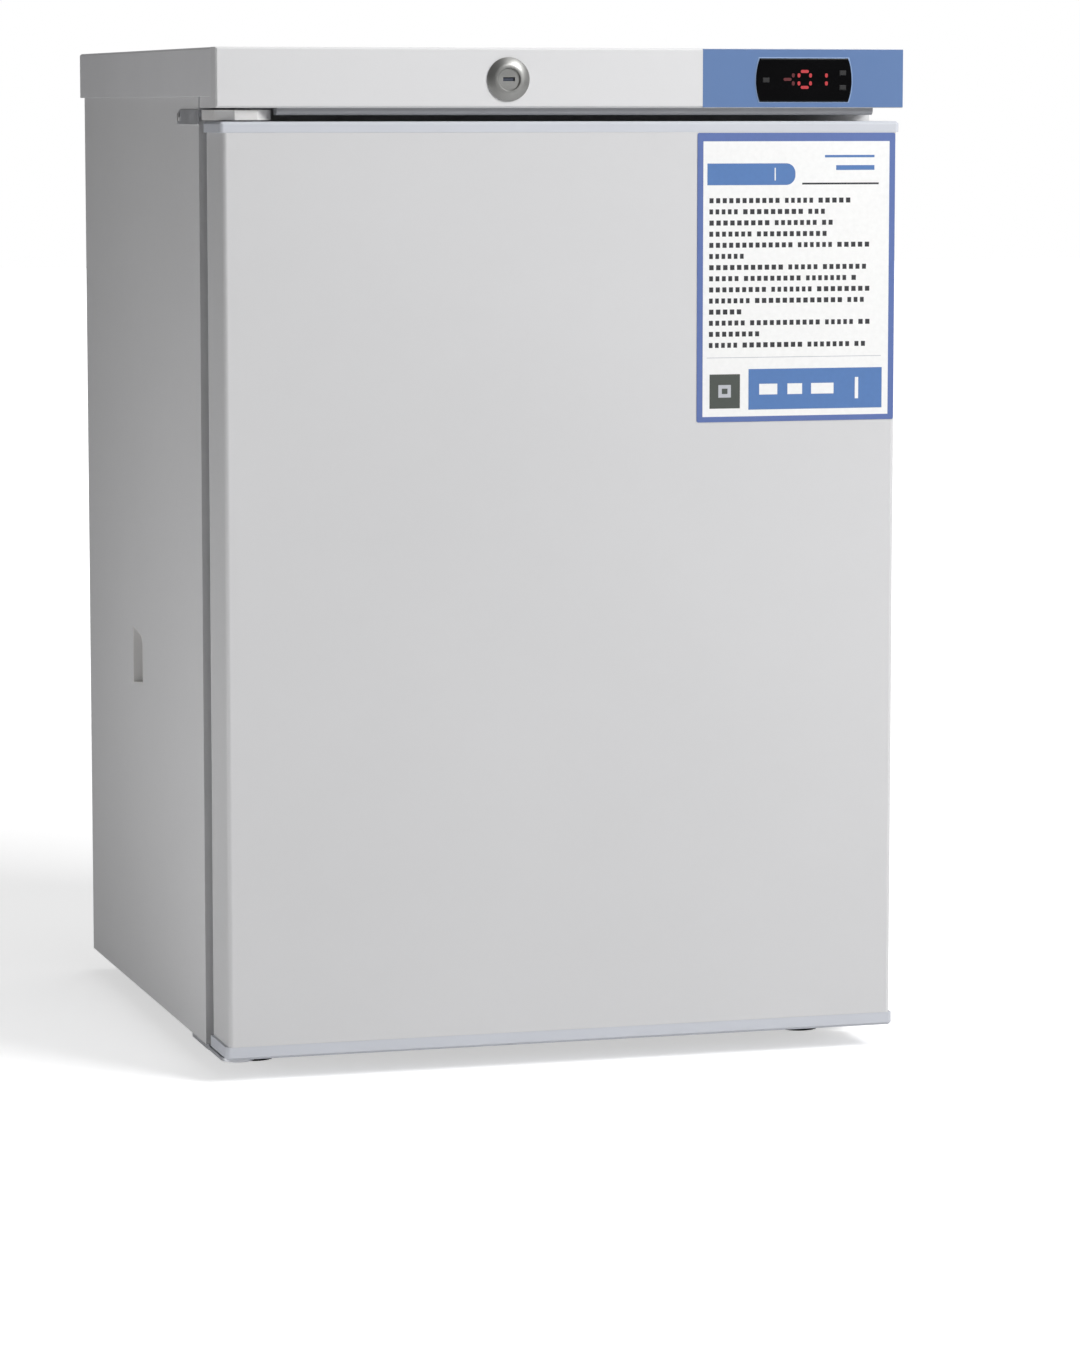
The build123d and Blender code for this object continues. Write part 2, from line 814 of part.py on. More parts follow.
def make_hinge_cover():
    """Light plastic cover over the upper hinge, open underneath and towards the cabinet."""
    x = (-door_half, -door_half + cover_width)
    y = (front_y + cover_front_gap, cabinet_front - hinge_plate - cover_back_gap)
    z = (door_top + cover_rise, fascia_bottom - cover_gap)
    shell = block(x, y, z)
    shell = chamfer(shell.edges().filter_by(Axis.Z).group_by(Axis.Y)[0], cover_corner)
    room = block((x[0] + cover_wall, x[1] - cover_wall), (y[0] + cover_wall, y[1]), (z[0], z[1] - cover_wall))
    return shell - chamfer(room.edges().filter_by(Axis.Z).group_by(Axis.Y)[0], cover_corner - cover_wall / 2)


# Cabinet shell

def side_panel(side):
    """Painted side sheet with a narrow flange turned in at the back."""
    outer = side * cabinet_half
    z = (base_z, cabinet_top)
    wall = block(sorted((outer, outer - side * sheet)), (cabinet_front + sheet, cabinet_back), z)
    flange = block(sorted((outer, outer - side * panel_flange)), (cabinet_back - sheet, cabinet_back), z)
    return wall + flange


def port_solid(margin, depth):
    """The probe port's leaning four-sided outline, cut inwards from the left side."""
    back = port_back + margin
    front = port_back - port_length - margin
    low = port_bottom - margin
    points = [
        (back, low),
        (back, low + port_back_height + 2 * margin),
        (front, low + port_front_rise + port_front_height + 2 * margin),
        (front, low + port_front_rise),
    ]
    outline = make_face(Polyline(*points, close=True))
    outline = fillet(outline.vertices().group_by(Axis.X)[0].sort_by(Axis.Y)[-1], port_corner)
    return extrude(facing_right(-cabinet_half, 0, 0) * outline, depth)


def port_rod(radius, x):
    """Rod along the probe port's bore between two ends."""
    y = port_back - port_length / 2
    z = port_bottom + port_back_height / 2
    return rod_x(radius, x, y, z, round_sides)


def make_left_panel():
    """Left side sheet, cut out for the probe port."""
    return side_panel(-1) - port_solid(cup_wall, sheet)


def make_port_cup():
    """Recessed cup of the probe port with the sleeve that leads into the cavity."""
    floor = -cabinet_half + port_depth
    cup = port_solid(cup_wall, port_depth + cup_wall) - port_solid(0, port_depth)
    cup += port_rod(port_bore + port_sleeve_wall, (floor, -cavity_half))
    return cup - port_rod(port_bore, (floor, -cavity_half))


def make_port_plug():
    """Rubber plug that closes the port: a bevelled head and a stem in the sleeve."""
    floor = -cabinet_half + port_depth
    head = port_rod(port_plug_head, (floor - port_plug_head_thickness, floor))
    head = chamfer(head.faces().sort_by(Axis.X)[0].edges(), port_plug_edge)
    return head + port_rod(port_bore, (floor, -cavity_half))


def make_front_frame():
    """Painted front rim of the cabinet, which the door's seal grips."""
    rim = block(both(cabinet_half), (cabinet_front, cabinet_front + sheet), (base_z, cabinet_top))
    return rim - block(both(liner_half), (cabinet_front, cabinet_front + sheet), (liner_floor, liner_top))


def make_top_plate():
    """Sheet that closes the top of the cabinet under the worktop."""
    y = (cabinet_front + sheet, cabinet_back - sheet)
    return block(both(inner_half), y, (cabinet_top - sheet, cabinet_top))


def make_back_panel():
    """Back sheet above the compressor bay, held inside the flanges of the side sheets."""
    y = (cabinet_back - 2 * sheet, cabinet_back - sheet)
    return block(both(inner_half), y, (bay_top, cabinet_top - sheet))


def make_base_pan():
    """Bottom sheet under the foam, with holes for the front feet."""
    pan = block(both(inner_half), (cabinet_front + sheet, bay_front), (base_z, base_z + sheet))
    for name in ("front_left", "front_right"):
        pan -= rod_z(foot_stud_radius + foot_hole_gap, (base_z, base_z + sheet), *foot_places[name])
    return pan


def make_bay_panel():
    """Front wall and ceiling of the compressor bay, folded from one sheet."""
    wall = block(both(inner_half), (bay_front, bay_front + sheet), (base_z, bay_top))
    return wall + block(both(inner_half), (bay_front, cabinet_back - sheet), (bay_ceiling, bay_top))


def cavity_block(inset, front):
    """The stepped space inside the liner, grown by a wall, from a plane at its front."""
    half = cavity_half + inset
    upper = (cavity_step_top - inset, cavity_top + inset)
    room = block(both(half), (front, cavity_back + inset), upper)
    return room + block(both(half), (front, cavity_step_front + inset), (cavity_floor - inset, upper[0]))


def make_foam():
    """Foam block between the liner and the outer sheets, stepped over the compressor bay."""
    y = (cabinet_front + sheet, cabinet_back - 2 * sheet)
    foam = block(both(inner_half), y, (base_z + sheet, cabinet_top - sheet))
    foam -= block(both(inner_half), (bay_front, y[1]), (base_z + sheet, bay_top))
    foam -= cavity_block(liner_wall, y[0])
    foam -= port_solid(cup_wall, port_depth + cup_wall)
    foam -= port_rod(port_bore + port_sleeve_wall, (-cabinet_half, -cavity_half))
    for name in ("front_left", "front_right"):
        foam -= hexagon_z(foot_nut_width + 2 * touch_gap, (base_z, foot_top + touch_gap), *foot_places[name])
    return foam


def make_liner():
    """Moulded cavity liner with a lip round its mouth and rails for the shelves."""
    lip_front = cabinet_front - sheet
    liner = cavity_block(liner_wall, cabinet_front)
    liner += block(both(liner_half + liner_lip), (lip_front, cabinet_front),
                   (liner_floor - liner_lip, liner_top + liner_lip))
    room = cavity_block(0, lip_front)
    liner -= fillet(room.edges().filter_by(Axis.Y), liner_corner)
    for level in shelf_levels:
        z = (level + rail_rise - rail_height, level + rail_rise)
        for side in (-1, 1):
            x = sorted((side * cavity_half, side * (cavity_half - rail_reach)))
            rail = block(x, (shelf_front, shelf_back), z)
            nose = rail.faces().sort_by(lambda face: abs(face.center().X))[0].edges()
            liner += chamfer(nose.filter_by(Axis.Z), rail_nose)
    return liner - port_rod(port_bore + port_sleeve_wall, (-liner_half, -cavity_half))


# Refrigerated shelves

def make_coil(level):
    """Evaporator tube of one shelf, bent to and fro in one plane."""
    corners = serpentine((shelf_back, shelf_front), both(coil_half), 2 * coil_loops)
    return pipe([(x, y, level) for y, x in corners], coil_radius, coil_bend)


def make_shelf_wires(level):
    """Cross wires of one shelf. They lie over the tube and end on the liner's rails."""
    half = cavity_half - touch_gap
    z = level + rail_rise + shelf_wire_radius
    first = shelf_front + coil_bend + coil_radius
    last = shelf_back - coil_bend - coil_radius
    wires = []
    for i in range(shelf_wire_count):
        y = first + (last - first) * i / (shelf_wire_count - 1)
        wires.append(rod_x(shelf_wire_radius, (-half, half), y, z, wire_sides))
    return Compound(wires)


def make_risers():
    """Tubes at the back that join the shelves' coils, and the two ends in the back wall."""
    y = cavity_back - riser_wall_gap
    tubes = []
    for i in range(shelf_count - 1):
        x = coil_half if i % 2 == 0 else -coil_half
        low, high = shelf_levels[i], shelf_levels[i + 1]
        points = [(x, shelf_back, low), (x, y, low), (x, y, high), (x, shelf_back, high)]
        tubes.append(pipe(points, coil_radius, riser_bend))
    last_x = coil_half if shelf_count % 2 == 1 else -coil_half
    for x, level in ((-coil_half, shelf_levels[0]), (last_x, shelf_levels[-1])):
        tubes.append(pipe([(x, shelf_back, level), (x, cavity_back, level)], coil_radius, 0))
    return Compound(tubes)


def make_probe():
    """Air temperature probe in a clip on the right wall of the cavity."""
    x = cavity_half - probe_clip_reach + probe_radius + touch_gap
    y = shelf_back - probe_clip_width / 2
    z = cavity_top - probe_below_top
    clip_x = (cavity_half - probe_clip_reach, cavity_half)
    clip = block(clip_x, span(y, probe_clip_width), span(z, probe_clip_width))
    return clip + rod_y(probe_radius, span(y, probe_length), x, z, round_sides)


# Condenser

def make_condenser_tube():
    """Condenser tube on the back, bent to and fro from the top down."""
    ends = (condenser_half, -condenser_half)
    corners = serpentine(ends, (condenser_high, condenser_low), 2 * condenser_loops + 1)
    return pipe([(x, condenser_y, z) for x, z in corners], condenser_radius, condenser_bend)


def make_condenser_wires():
    """Upright wires welded to both faces of the condenser tube."""
    away = condenser_radius + condenser_wire_radius + touch_gap / 2
    low = condenser_low - condenser_wire_overhang
    high = condenser_high + condenser_wire_overhang
    wires = []
    for i in range(condenser_wire_count):
        x = -condenser_wire_half + i * condenser_wire_pitch
        for y in (condenser_y - away, condenser_y + away):
            wires.append(rod_z(condenser_wire_radius, (low, high), x, y, wire_sides))
    return Compound(wires)


def make_clips():
    """Sheet clips that carry the condenser: a foot on the back sheet and a hook round the tube."""
    back = cabinet_back - sheet
    hook = condenser_radius + touch_gap
    x_reach = condenser_wire_half - condenser_wire_pitch / 2
    clips = []
    for x in both(x_reach):
        for z in (condenser_low + condenser_pitch, condenser_high - condenser_pitch):
            width = span(x, clip_width)
            low = z - hook - clip_wall
            foot = block(width, (back, back + clip_wall), (low - clip_foot, z - hook))
            arm = block(width, (back, condenser_y + hook + clip_wall), (low, z - hook))
            lip = block(width, (condenser_y + hook, condenser_y + hook + clip_wall), (low, z + hook))
            clips.append(foot + arm + lip)
    return Compound(clips)


def make_spacers():
    """Two hollow wall spacers that keep the condenser clear of the wall."""
    z = (cabinet_top - spacer_drop - spacer_height, cabinet_top - spacer_drop)
    spacers = []
    for x in both(cabinet_half - spacer_inset):
        body = block(span(x, spacer_width), (cabinet_back, wall_y), z)
        body = chamfer(body.faces().sort_by(Axis.Y)[-1].edges(), spacer_wall / 2)
        room = block(span(x, spacer_width - 2 * spacer_wall), (cabinet_back, wall_y - spacer_wall),
                     (z[0], z[1] - spacer_wall))
        spacers.append(body - room)
    return Compound(spacers)


# Compressor bay

def grommet_places():
    """Places of the compressor's rubber mounts, as X and Y."""
    x = feet_length / 2 - feet_corner
    y = feet_width / 2 - feet_corner
    return [(compressor_x + side * x, compressor_y + end * y) for side in (-1, 1) for end in (-1, 1)]


def make_tray():
    """Steel tray under the compressor with a turned-up edge and a tab for the mains inlet."""
    y = (bay_front + sheet, cabinet_back - sheet)
    edge_y = (y[1] - tray_thickness, y[1])
    tab = span(inlet_x, inlet_width + 2 * inlet_tab_margin)
    tray = block(both(inner_half), y, (base_z, tray_top))
    tray += block((-inner_half + panel_flange, tab[0]), edge_y, (base_z, tray_top + tray_flange))
    tray += block(tab, edge_y, (base_z, inlet_z + inlet_height / 2 + inlet_tab_margin))
    tray -= block(span(inlet_x, inlet_body_width), edge_y, span(inlet_z, inlet_body_height))
    for name in ("back_left", "back_right"):
        tray -= rod_z(foot_stud_radius + foot_hole_gap, (base_z, tray_top), *foot_places[name])
    return tray


def shell_slice(grow, z, lean=0):
    """Slice of the compressor's shell between two heights, grown outwards, leaning in as it rises."""
    outline = RectangleRounded(
        compressor_length + 2 * grow, compressor_width + 2 * grow, compressor_corner + grow)
    return Pos(compressor_x, compressor_y, z[0]) * extrude(outline, z[1] - z[0], taper=lean)


def make_lower_shell():
    """Lower half of the compressor's shell with its seam and base plate."""
    body = shell_slice(0, (compressor_base, seam_z))
    body += shell_slice(seam_flange, (seam_z - seam_thickness, seam_z))
    plate = extrude(RectangleRounded(feet_length, feet_width, feet_corner), feet_thickness)
    return body + Pos(compressor_x, compressor_y, compressor_base - feet_thickness) * plate


def make_upper_shell():
    """Upper half of the compressor's shell, domed in two steps."""
    top = compressor_base + compressor_height
    shoulder = top - compressor_dome
    turn = top - compressor_dome / 3
    inset = (turn - shoulder) * tan(radians(dome_lean))
    shell = shell_slice(0, (seam_z, shoulder)) + shell_slice(0, (shoulder, turn), dome_lean)
    return shell + shell_slice(-inset, (turn, top), 2 * dome_lean)


def make_grommets():
    """Rubber mounts between the tray and the compressor's base plate."""
    z = (tray_top, tray_top + grommet_height)
    return Compound([rod_z(grommet_radius, z, x, y, round_sides) for x, y in grommet_places()])


def make_terminal_cover():
    """Cover over the compressor's relay and terminals, on its right side."""
    left = compressor_x + compressor_length / 2
    top = seam_z - seam_thickness - touch_gap
    cover = block((left, left + terminal_depth), span(compressor_y, terminal_width), (top - terminal_height, top))
    return chamfer(cover.faces().sort_by(Axis.X)[-1].edges(), terminal_edge)


def drier_place():
    """Place of the filter drier, as X, Y and the heights of its two ends."""
    top = bay_ceiling - drier_drop
    return -line_x, cabinet_back - drier_inset, top - drier_length, top


def make_suction():
    """Suction tube from the compressor up to the ceiling of the bay."""
    side = compressor_x - compressor_length / 2
    x = side - suction_reach
    z = seam_z + suction_rise
    points = [(side, compressor_y, z), (x, compressor_y, z), (x, compressor_y, bay_ceiling)]
    return pipe(points, suction_radius, line_bend)


def make_discharge():
    """Discharge tube from the compressor out to the back and up to the condenser."""
    back = compressor_y + compressor_width / 2
    run_y = back + discharge_run
    x = compressor_x + compressor_length / 2 - discharge_from_side
    z = compressor_base + discharge_rise
    points = [
        (x, back, z),
        (x, run_y, z),
        (line_x, run_y, z),
        (line_x, condenser_y, z),
        (line_x, condenser_y, condenser_high),
        (condenser_half, condenser_y, condenser_high),
    ]
    return pipe(points, condenser_radius, line_bend)


def make_liquid_line():
    """Tube from the last condenser run down and in to the drier."""
    x, y, _, top = drier_place()
    turn = top + 2 * line_bend
    points = [
        (-condenser_half, condenser_y, condenser_low),
        (x, condenser_y, condenser_low),
        (x, condenser_y, turn),
        (x, y, turn),
        (x, y, top),
    ]
    return pipe(points, condenser_radius, line_bend)


def make_capillary():
    """Thin tube from the drier round to the ceiling of the bay."""
    x, y, low, _ = drier_place()
    turn = low - capillary_drop
    across = x + capillary_offset
    points = [(x, y, low), (x, y, turn), (across, y, turn), (across, y, bay_ceiling)]
    return pipe(points, capillary_radius, line_bend)


def make_refrigerant_tubes():
    """Copper tubes: suction, discharge, liquid line and capillary."""
    return Compound([make_suction(), make_discharge(), make_liquid_line(), make_capillary()])


def make_drier():
    """Copper filter drier, narrowed to a neck at each end."""
    x, y, low, high = drier_place()
    body = rod_z(drier_radius, (low, high), x, y, round_sides)
    for end in (0, -1):
        face = body.faces().sort_by(Axis.Z)[end]
        body = chamfer(face.edges(), drier_radius - drier_neck, drier_cone, reference=face)
    return body


def make_inlet():
    """Mains inlet: flange on the tab, socket body, and three flat pins in the socket."""
    face = Plane(origin=(inlet_x, inlet_back, inlet_z), x_dir=(-1, 0, 0), z_dir=(0, 1, 0))
    inlet = extrude(face * Rectangle(inlet_width, inlet_height), inlet_flange_thickness)
    body = Rectangle(inlet_body_width - touch_gap, inlet_body_height - touch_gap)
    inlet += extrude(face * body, -inlet_body_depth)
    socket = Rectangle(inlet_socket_width, inlet_socket_height)
    socket = chamfer(socket.vertices().group_by(Axis.X)[-1], inlet_socket_corner)
    mouth = face.offset(inlet_flange_thickness)
    inlet -= extrude(mouth * socket, -inlet_socket_depth)
    pin = Rectangle(inlet_pin_height, inlet_pin_width)
    places = ((-inlet_pin_offset, inlet_pin_spread), (-inlet_pin_offset, -inlet_pin_spread), (inlet_pin_offset, 0))
    for across, up in places:
        inlet += extrude(mouth.offset(-inlet_socket_depth) * Pos(across, up) * pin,
                         inlet_socket_depth - inlet_flange_thickness)
    return inlet


# Feet and fasteners

def make_foot(place):
    """Levelling foot: a pad, a hexagonal neck and the threaded stud above it."""
    x, y = place
    neck_top = foot_pad_thickness + foot_neck_height
    pad = rod_z(foot_pad_radius, (0, foot_pad_thickness), x, y, round_sides)
    pad = chamfer(pad.faces().sort_by(Axis.Z)[-1].edges(), foot_pad_edge)
    neck = hexagon_z(foot_neck_width, (foot_pad_thickness, neck_top), x, y)
    return pad + neck + rod_z(foot_stud_radius, (neck_top, foot_top), x, y)


def make_foot_nut(name):
    """Welded nut that a foot's stud turns in."""
    low = base_z + sheet if name.startswith("front") else tray_top
    z = (low, low + foot_nut_height)
    nut = hexagon_z(foot_nut_width, z, *foot_places[name])
    return nut - rod_z(foot_stud_radius + running_gap, z, *foot_places[name])


def make_fasteners():
    """Screw heads, bolt heads and nuts of the cabinet."""
    pieces = [make_foot_nut(name) for name in foot_places]
    nut_y = (front_y + fascia_wall, front_y + fascia_wall + lock_nut_thickness)
    lock_nut = hexagon_y(lock_nut_width, nut_y, lock_x, lock_z)
    pieces.append(lock_nut - rod_y(lock_barrel_radius, nut_y, lock_x, lock_z))
    leg_front = cabinet_front - hinge_plate
    for x, z in bracket_screw_places():
        pieces.append(hexagon_y(screw_head_width, (leg_front - screw_head_height, leg_front), x, z))
    ear_x = (-half_width, -cabinet_half - ear_thickness)
    ear_y = leg_front + ear_length - ear_screw_back
    pieces.append(rod_x(screw_head_width / 2, ear_x, ear_y, tongue_low, few_sides))
    for x, y in grommet_places():
        bolt_z = (compressor_base, compressor_base + bolt_head_height)
        pieces.append(hexagon_z(bolt_head_width, bolt_z, x, y))
    flange = inlet_back + inlet_flange_thickness
    for side in (-1, 1):
        z = inlet_z + side * inlet_screw_spread / 2
        pieces.append(hexagon_y(screw_head_width, (flange, flange + screw_head_height), inlet_x, z))
    return Compound(pieces)


# All nodes, each with the piece or group of like pieces that it holds

nodes = {
    "worktop": make_worktop(),
    "fascia_panel": make_fascia(),
    "control_panel": make_control_panel(),
    "display_window": make_window(),
    "controller_body": make_controller(),
    "lock_barrel": make_lock_barrel(),
    "lock_plug": make_lock_plug(),
    "lock_cam": make_lock_cam(),
    "door_skin": make_door_skin(),
    "door_top_cap": make_top_cap(),
    "door_bottom_cap": make_bottom_cap(),
    "door_foam": make_door_foam(),
    "door_liner": make_door_liner(),
    "door_gasket": make_gasket(),
    "door_grip": make_grip(),
    "hinge_bushes": make_bushes(),
    "hinge_bracket_top": make_top_bracket(),
    "hinge_bracket_bottom": make_bottom_bracket(),
    "hinge_pins": make_pins(),
    "hinge_cover": make_hinge_cover(),
    "side_panel_left": make_left_panel(),
    "side_panel_right": side_panel(1),
    "port_cup": make_port_cup(),
    "port_plug": make_port_plug(),
    "front_frame": make_front_frame(),
    "top_plate": make_top_plate(),
    "back_panel": make_back_panel(),
    "base_pan": make_base_pan(),
    "bay_panel": make_bay_panel(),
    "cabinet_foam": make_foam(),
    "inner_liner": make_liner(),
    "evaporator_risers": make_risers(),
    "air_probe": make_probe(),
    "condenser_tube": make_condenser_tube(),
    "condenser_wires": make_condenser_wires(),
    "condenser_clips": make_clips(),
    "wall_spacers": make_spacers(),
    "compressor_tray": make_tray(),
    "compressor_lower_shell": make_lower_shell(),
    "compressor_upper_shell": make_upper_shell(),
    "compressor_grommets": make_grommets(),
    "terminal_cover": make_terminal_cover(),
    "refrigerant_tubes": make_refrigerant_tubes(),
    "filter_drier": make_drier(),
    "power_inlet": make_inlet(),
    "fasteners": make_fasteners(),
}
for key_name, key_place in key_places.items():
    nodes[key_name] = make_key(key_place)
for foot_name, foot_place in foot_places.items():
    nodes["foot_" + foot_name] = make_foot(foot_place)
for number, shelf_level in enumerate(shelf_levels, start=1):
    nodes[f"shelf_coil_{number}"] = make_coil(shelf_level)
    nodes[f"shelf_wires_{number}"] = make_shelf_wires(shelf_level)

os.makedirs("parts", exist_ok=True)
for node_name, shape in nodes.items():
    shape.label = node_name
    export_step(shape, f"parts/{node_name}.step")
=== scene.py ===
"""Looks of an undercounter deep freezer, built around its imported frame."""

import logging
import math
from contextlib import contextmanager
from dataclasses import dataclass, field
from enum import Enum
from typing import Any, Callable, Iterator, Sequence

import bmesh
import bpy
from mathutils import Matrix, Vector


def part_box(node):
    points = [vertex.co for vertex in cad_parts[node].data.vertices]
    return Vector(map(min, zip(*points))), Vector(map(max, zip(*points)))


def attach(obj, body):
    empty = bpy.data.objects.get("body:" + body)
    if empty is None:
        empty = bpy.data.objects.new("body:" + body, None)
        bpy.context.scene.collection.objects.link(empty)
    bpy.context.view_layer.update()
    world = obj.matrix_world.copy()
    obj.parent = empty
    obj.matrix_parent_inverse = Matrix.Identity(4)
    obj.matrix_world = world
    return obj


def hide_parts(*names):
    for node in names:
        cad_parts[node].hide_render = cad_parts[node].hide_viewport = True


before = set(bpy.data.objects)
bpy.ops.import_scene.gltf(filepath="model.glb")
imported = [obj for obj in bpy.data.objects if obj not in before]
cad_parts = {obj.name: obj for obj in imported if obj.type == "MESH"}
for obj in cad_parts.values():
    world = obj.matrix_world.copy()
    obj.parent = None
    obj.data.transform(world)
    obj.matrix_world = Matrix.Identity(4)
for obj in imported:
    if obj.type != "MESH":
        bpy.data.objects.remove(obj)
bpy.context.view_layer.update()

LOG = logging.getLogger("freezer")
MM = 0.001
Colour = tuple[float, float, float]
Point = tuple[float, float, float]
Span = tuple[float, float]
Pick = Callable[[Any], bool]


class Along(Enum):
    """Main directions of the shared frame."""

    X = (1.0, 0.0, 0.0)
    Y = (0.0, 1.0, 0.0)
    Z = (0.0, 0.0, 1.0)

    def aside(self) -> Vector:
        """A direction square to this one."""
        return Vector((0, 0, 1)) if self is not Along.Z else Vector((1, 0, 0))


def tint(red: int, green: int, blue: int) -> Colour:
    """Turns a screen colour into the linear colour that shaders use.

    Args:
        red: Red from 0 to 255.
        green: Green from 0 to 255.
        blue: Blue from 0 to 255.

    Returns:
        The linear red, green and blue.
    """
    shares = [value / 255 for value in (red, green, blue)]
    lights = [s / 12.92 if s <= 0.04045 else ((s + 0.055) / 1.055) ** 2.4 for s in shares]
    return (lights[0], lights[1], lights[2])


def shade(colour: Colour, factor: float) -> Colour:
    """The colour made darker or lighter by a factor."""
    return (colour[0] * factor, colour[1] * factor, colour[2] * factor)


def milli(*values: float) -> Point:
    """A point given in millimetres."""
    return (values[0] * MM, values[1] * MM, values[2] * MM)


class Signal:
    """A shader socket that works in Python sums."""

    def __init__(self, shader: "Shader", socket: bpy.types.NodeSocket) -> None:
        """Wraps a socket of a shader's tree."""
        self.shader = shader
        self.socket = socket

    def _maths(self, operation: str, *values: "Signal | float") -> "Signal":
        """One Math node over the values.

        Args:
            operation: The Math node's operation.
            values: Signals or numbers, in the node's order.

        Returns:
            The node's result.
        """
        inputs = dict(enumerate(values))
        return self.shader.node("ShaderNodeMath", {"operation": operation}, inputs)

    def __add__(self, other: "Signal | float") -> "Signal":
        """Sum with another value."""
        return self._maths("ADD", self, other)

    def __radd__(self, other: float) -> "Signal":
        """Sum with a number on the left."""
        return self._maths("ADD", other, self)

    def __sub__(self, other: "Signal | float") -> "Signal":
        """Difference from another value."""
        return self._maths("SUBTRACT", self, other)

    def __rsub__(self, other: float) -> "Signal":
        """Difference from a number on the left."""
        return self._maths("SUBTRACT", other, self)

    def __mul__(self, other: "Signal | float") -> "Signal":
        """Product with another value."""
        return self._maths("MULTIPLY", self, other)

    def __rmul__(self, other: float) -> "Signal":
        """Product with a number on the left."""
        return self._maths("MULTIPLY", other, self)

    def __truediv__(self, other: "Signal | float") -> "Signal":
        """Quotient by another value."""
        return self._maths("DIVIDE", self, other)

    def clamped(self) -> "Signal":
        """This value kept between 0 and 1."""
        return self._maths("MINIMUM", self._maths("MAXIMUM", self, 0.0), 1.0)

    def over(self, limit: float, softness: float) -> "Signal":
        """Mask that rises from 0 to 1 about a limit.

        Args:
            limit: Where the mask is one half.
            softness: How wide the rise is.

        Returns:
            The mask.
        """
        return ((self - limit) / softness + 0.5).clamped()


class Shader:
    """Node tree of one material with short calls for its nodes."""

    def __init__(self, name: str) -> None:
        """Starts a material with its principled shader."""
        self.material = bpy.data.materials.new(name)
        self.material.use_nodes = True
        self.tree = self.material.node_tree
        self.surface = self.tree.nodes["Principled BSDF"]

    def feed(self, socket: bpy.types.NodeSocket, value: Any) -> None:
        """Links a signal to a socket, or sets a number or colour on it."""
        if isinstance(value, Signal):
            self.tree.links.new(value.socket, socket)
        elif isinstance(value, tuple) and len(value) == 3 and socket.type == "RGBA":
            socket.default_value = (*value, 1.0)
        else:
            socket.default_value = value

    def node(self, kind: str, settings: dict[str, Any], inputs: dict[Any, Any], output: Any = 0) -> Signal:
        """Adds any node.

        Args:
            kind: The node's type.
            settings: Its own settings, which are made first.
            inputs: Values or signals by the name or number of its socket.
            output: Name or number of the output that is wanted.

        Returns:
            That output.
        """
        made = self.tree.nodes.new(kind)
        for key, value in settings.items():
            setattr(made, key, value)
        for key, value in inputs.items():
            self.feed(made.inputs[key], value)
        return Signal(self, made.outputs[output])

    def place(self, stretch: Point = (1.0, 1.0, 1.0)) -> Signal:
        """Object coordinates, stretched along the axes."""
        here = self.node("ShaderNodeTexCoord", {}, {}, "Object")
        return self.node("ShaderNodeMapping", {}, {"Vector": here, "Scale": stretch})

    def noise(self, scale: float, detail: float = 2.0, stretch: Point = (1.0, 1.0, 1.0)) -> Signal:
        """Soft noise from 0 to 1.

        Args:
            scale: Features per metre.
            detail: How many finer layers it has.
            stretch: Scale along each axis.

        Returns:
            The noise.
        """
        inputs = {"Vector": self.place(stretch), "Scale": scale, "Detail": detail}
        return self.node("ShaderNodeTexNoise", {}, inputs, "Fac")

    def cells(self, scale: float, output: str = "Distance") -> Signal:
        """Cell pattern, as its distance or its colour."""
        inputs = {"Vector": self.place(), "Scale": scale}
        return self.node("ShaderNodeTexVoronoi", {}, inputs, output)

    def mix(self, factor: Signal, first: Any, second: Any) -> Signal:
        """Colour between two colours.

        Args:
            factor: 0 for the first and 1 for the second.
            first: A colour or signal.
            second: A colour or signal.

        Returns:
            The mixed colour.
        """
        return self.node("ShaderNodeMix", {"data_type": "RGBA"}, {0: factor, 6: first, 7: second}, 2)

    def set(self, name: str, value: Any) -> None:
        """Feeds one socket of the principled shader."""
        self.feed(self.surface.inputs[name], value)

    def relief(self, height: Signal, strength: float, depth: float) -> None:
        """Raises the surface's shading by a height pattern.

        Args:
            height: The pattern from 0 to 1.
            strength: Share of the effect.
            depth: Depth of the pattern in metres.
        """
        inputs = {"Height": height, "Strength": strength, "Distance": depth}
        self.set("Normal", self.node("ShaderNodeBump", {}, inputs, "Normal"))


@dataclass(frozen=True)
class Finish:
    """What every finish has: a name, a colour and a roughness."""

    name: str
    colour: Colour
    roughness: float

    def material(self) -> bpy.types.Material:
        """The finish's material, made on first use."""
        title = f"{self.name}_finish"
        made = bpy.data.materials.get(title)
        if made is None:
            shader = Shader(title)
            shader.set("Base Color", self.colour)
            shader.set("Roughness", self.roughness)
            self.dress(shader)
            made = shader.material
        return made

    def dress(self, shader: Shader) -> None:
        """Adds the finish's own nodes."""


@dataclass(frozen=True)
class Enamel(Finish):
    """Sprayed paint with fine orange peel, faint clouds and a little dust."""

    peel: float = 0.10
    clouds: float = 0.03

    def dress(self, shader: Shader) -> None:
        """Clouded colour, uneven gloss and orange peel."""
        cloud = shader.noise(4.0, 3.0)
        dust = shader.noise(70.0, 4.0)
        speck = shader.noise(1400.0, 1.0).over(0.70, 0.08)
        tone = shader.mix(cloud, shade(self.colour, 1 + self.clouds), shade(self.colour, 1 - self.clouds))
        shader.set("Base Color", shader.mix(speck * 0.12, tone, shade(self.colour, 0.6)))
        shader.set("Roughness", self.roughness + (dust - 0.5) * 0.10 + cloud * 0.04)
        shader.set("Coat Weight", 0.05)
        shader.relief(shader.noise(850.0, 2.0), self.peel, 0.0003)


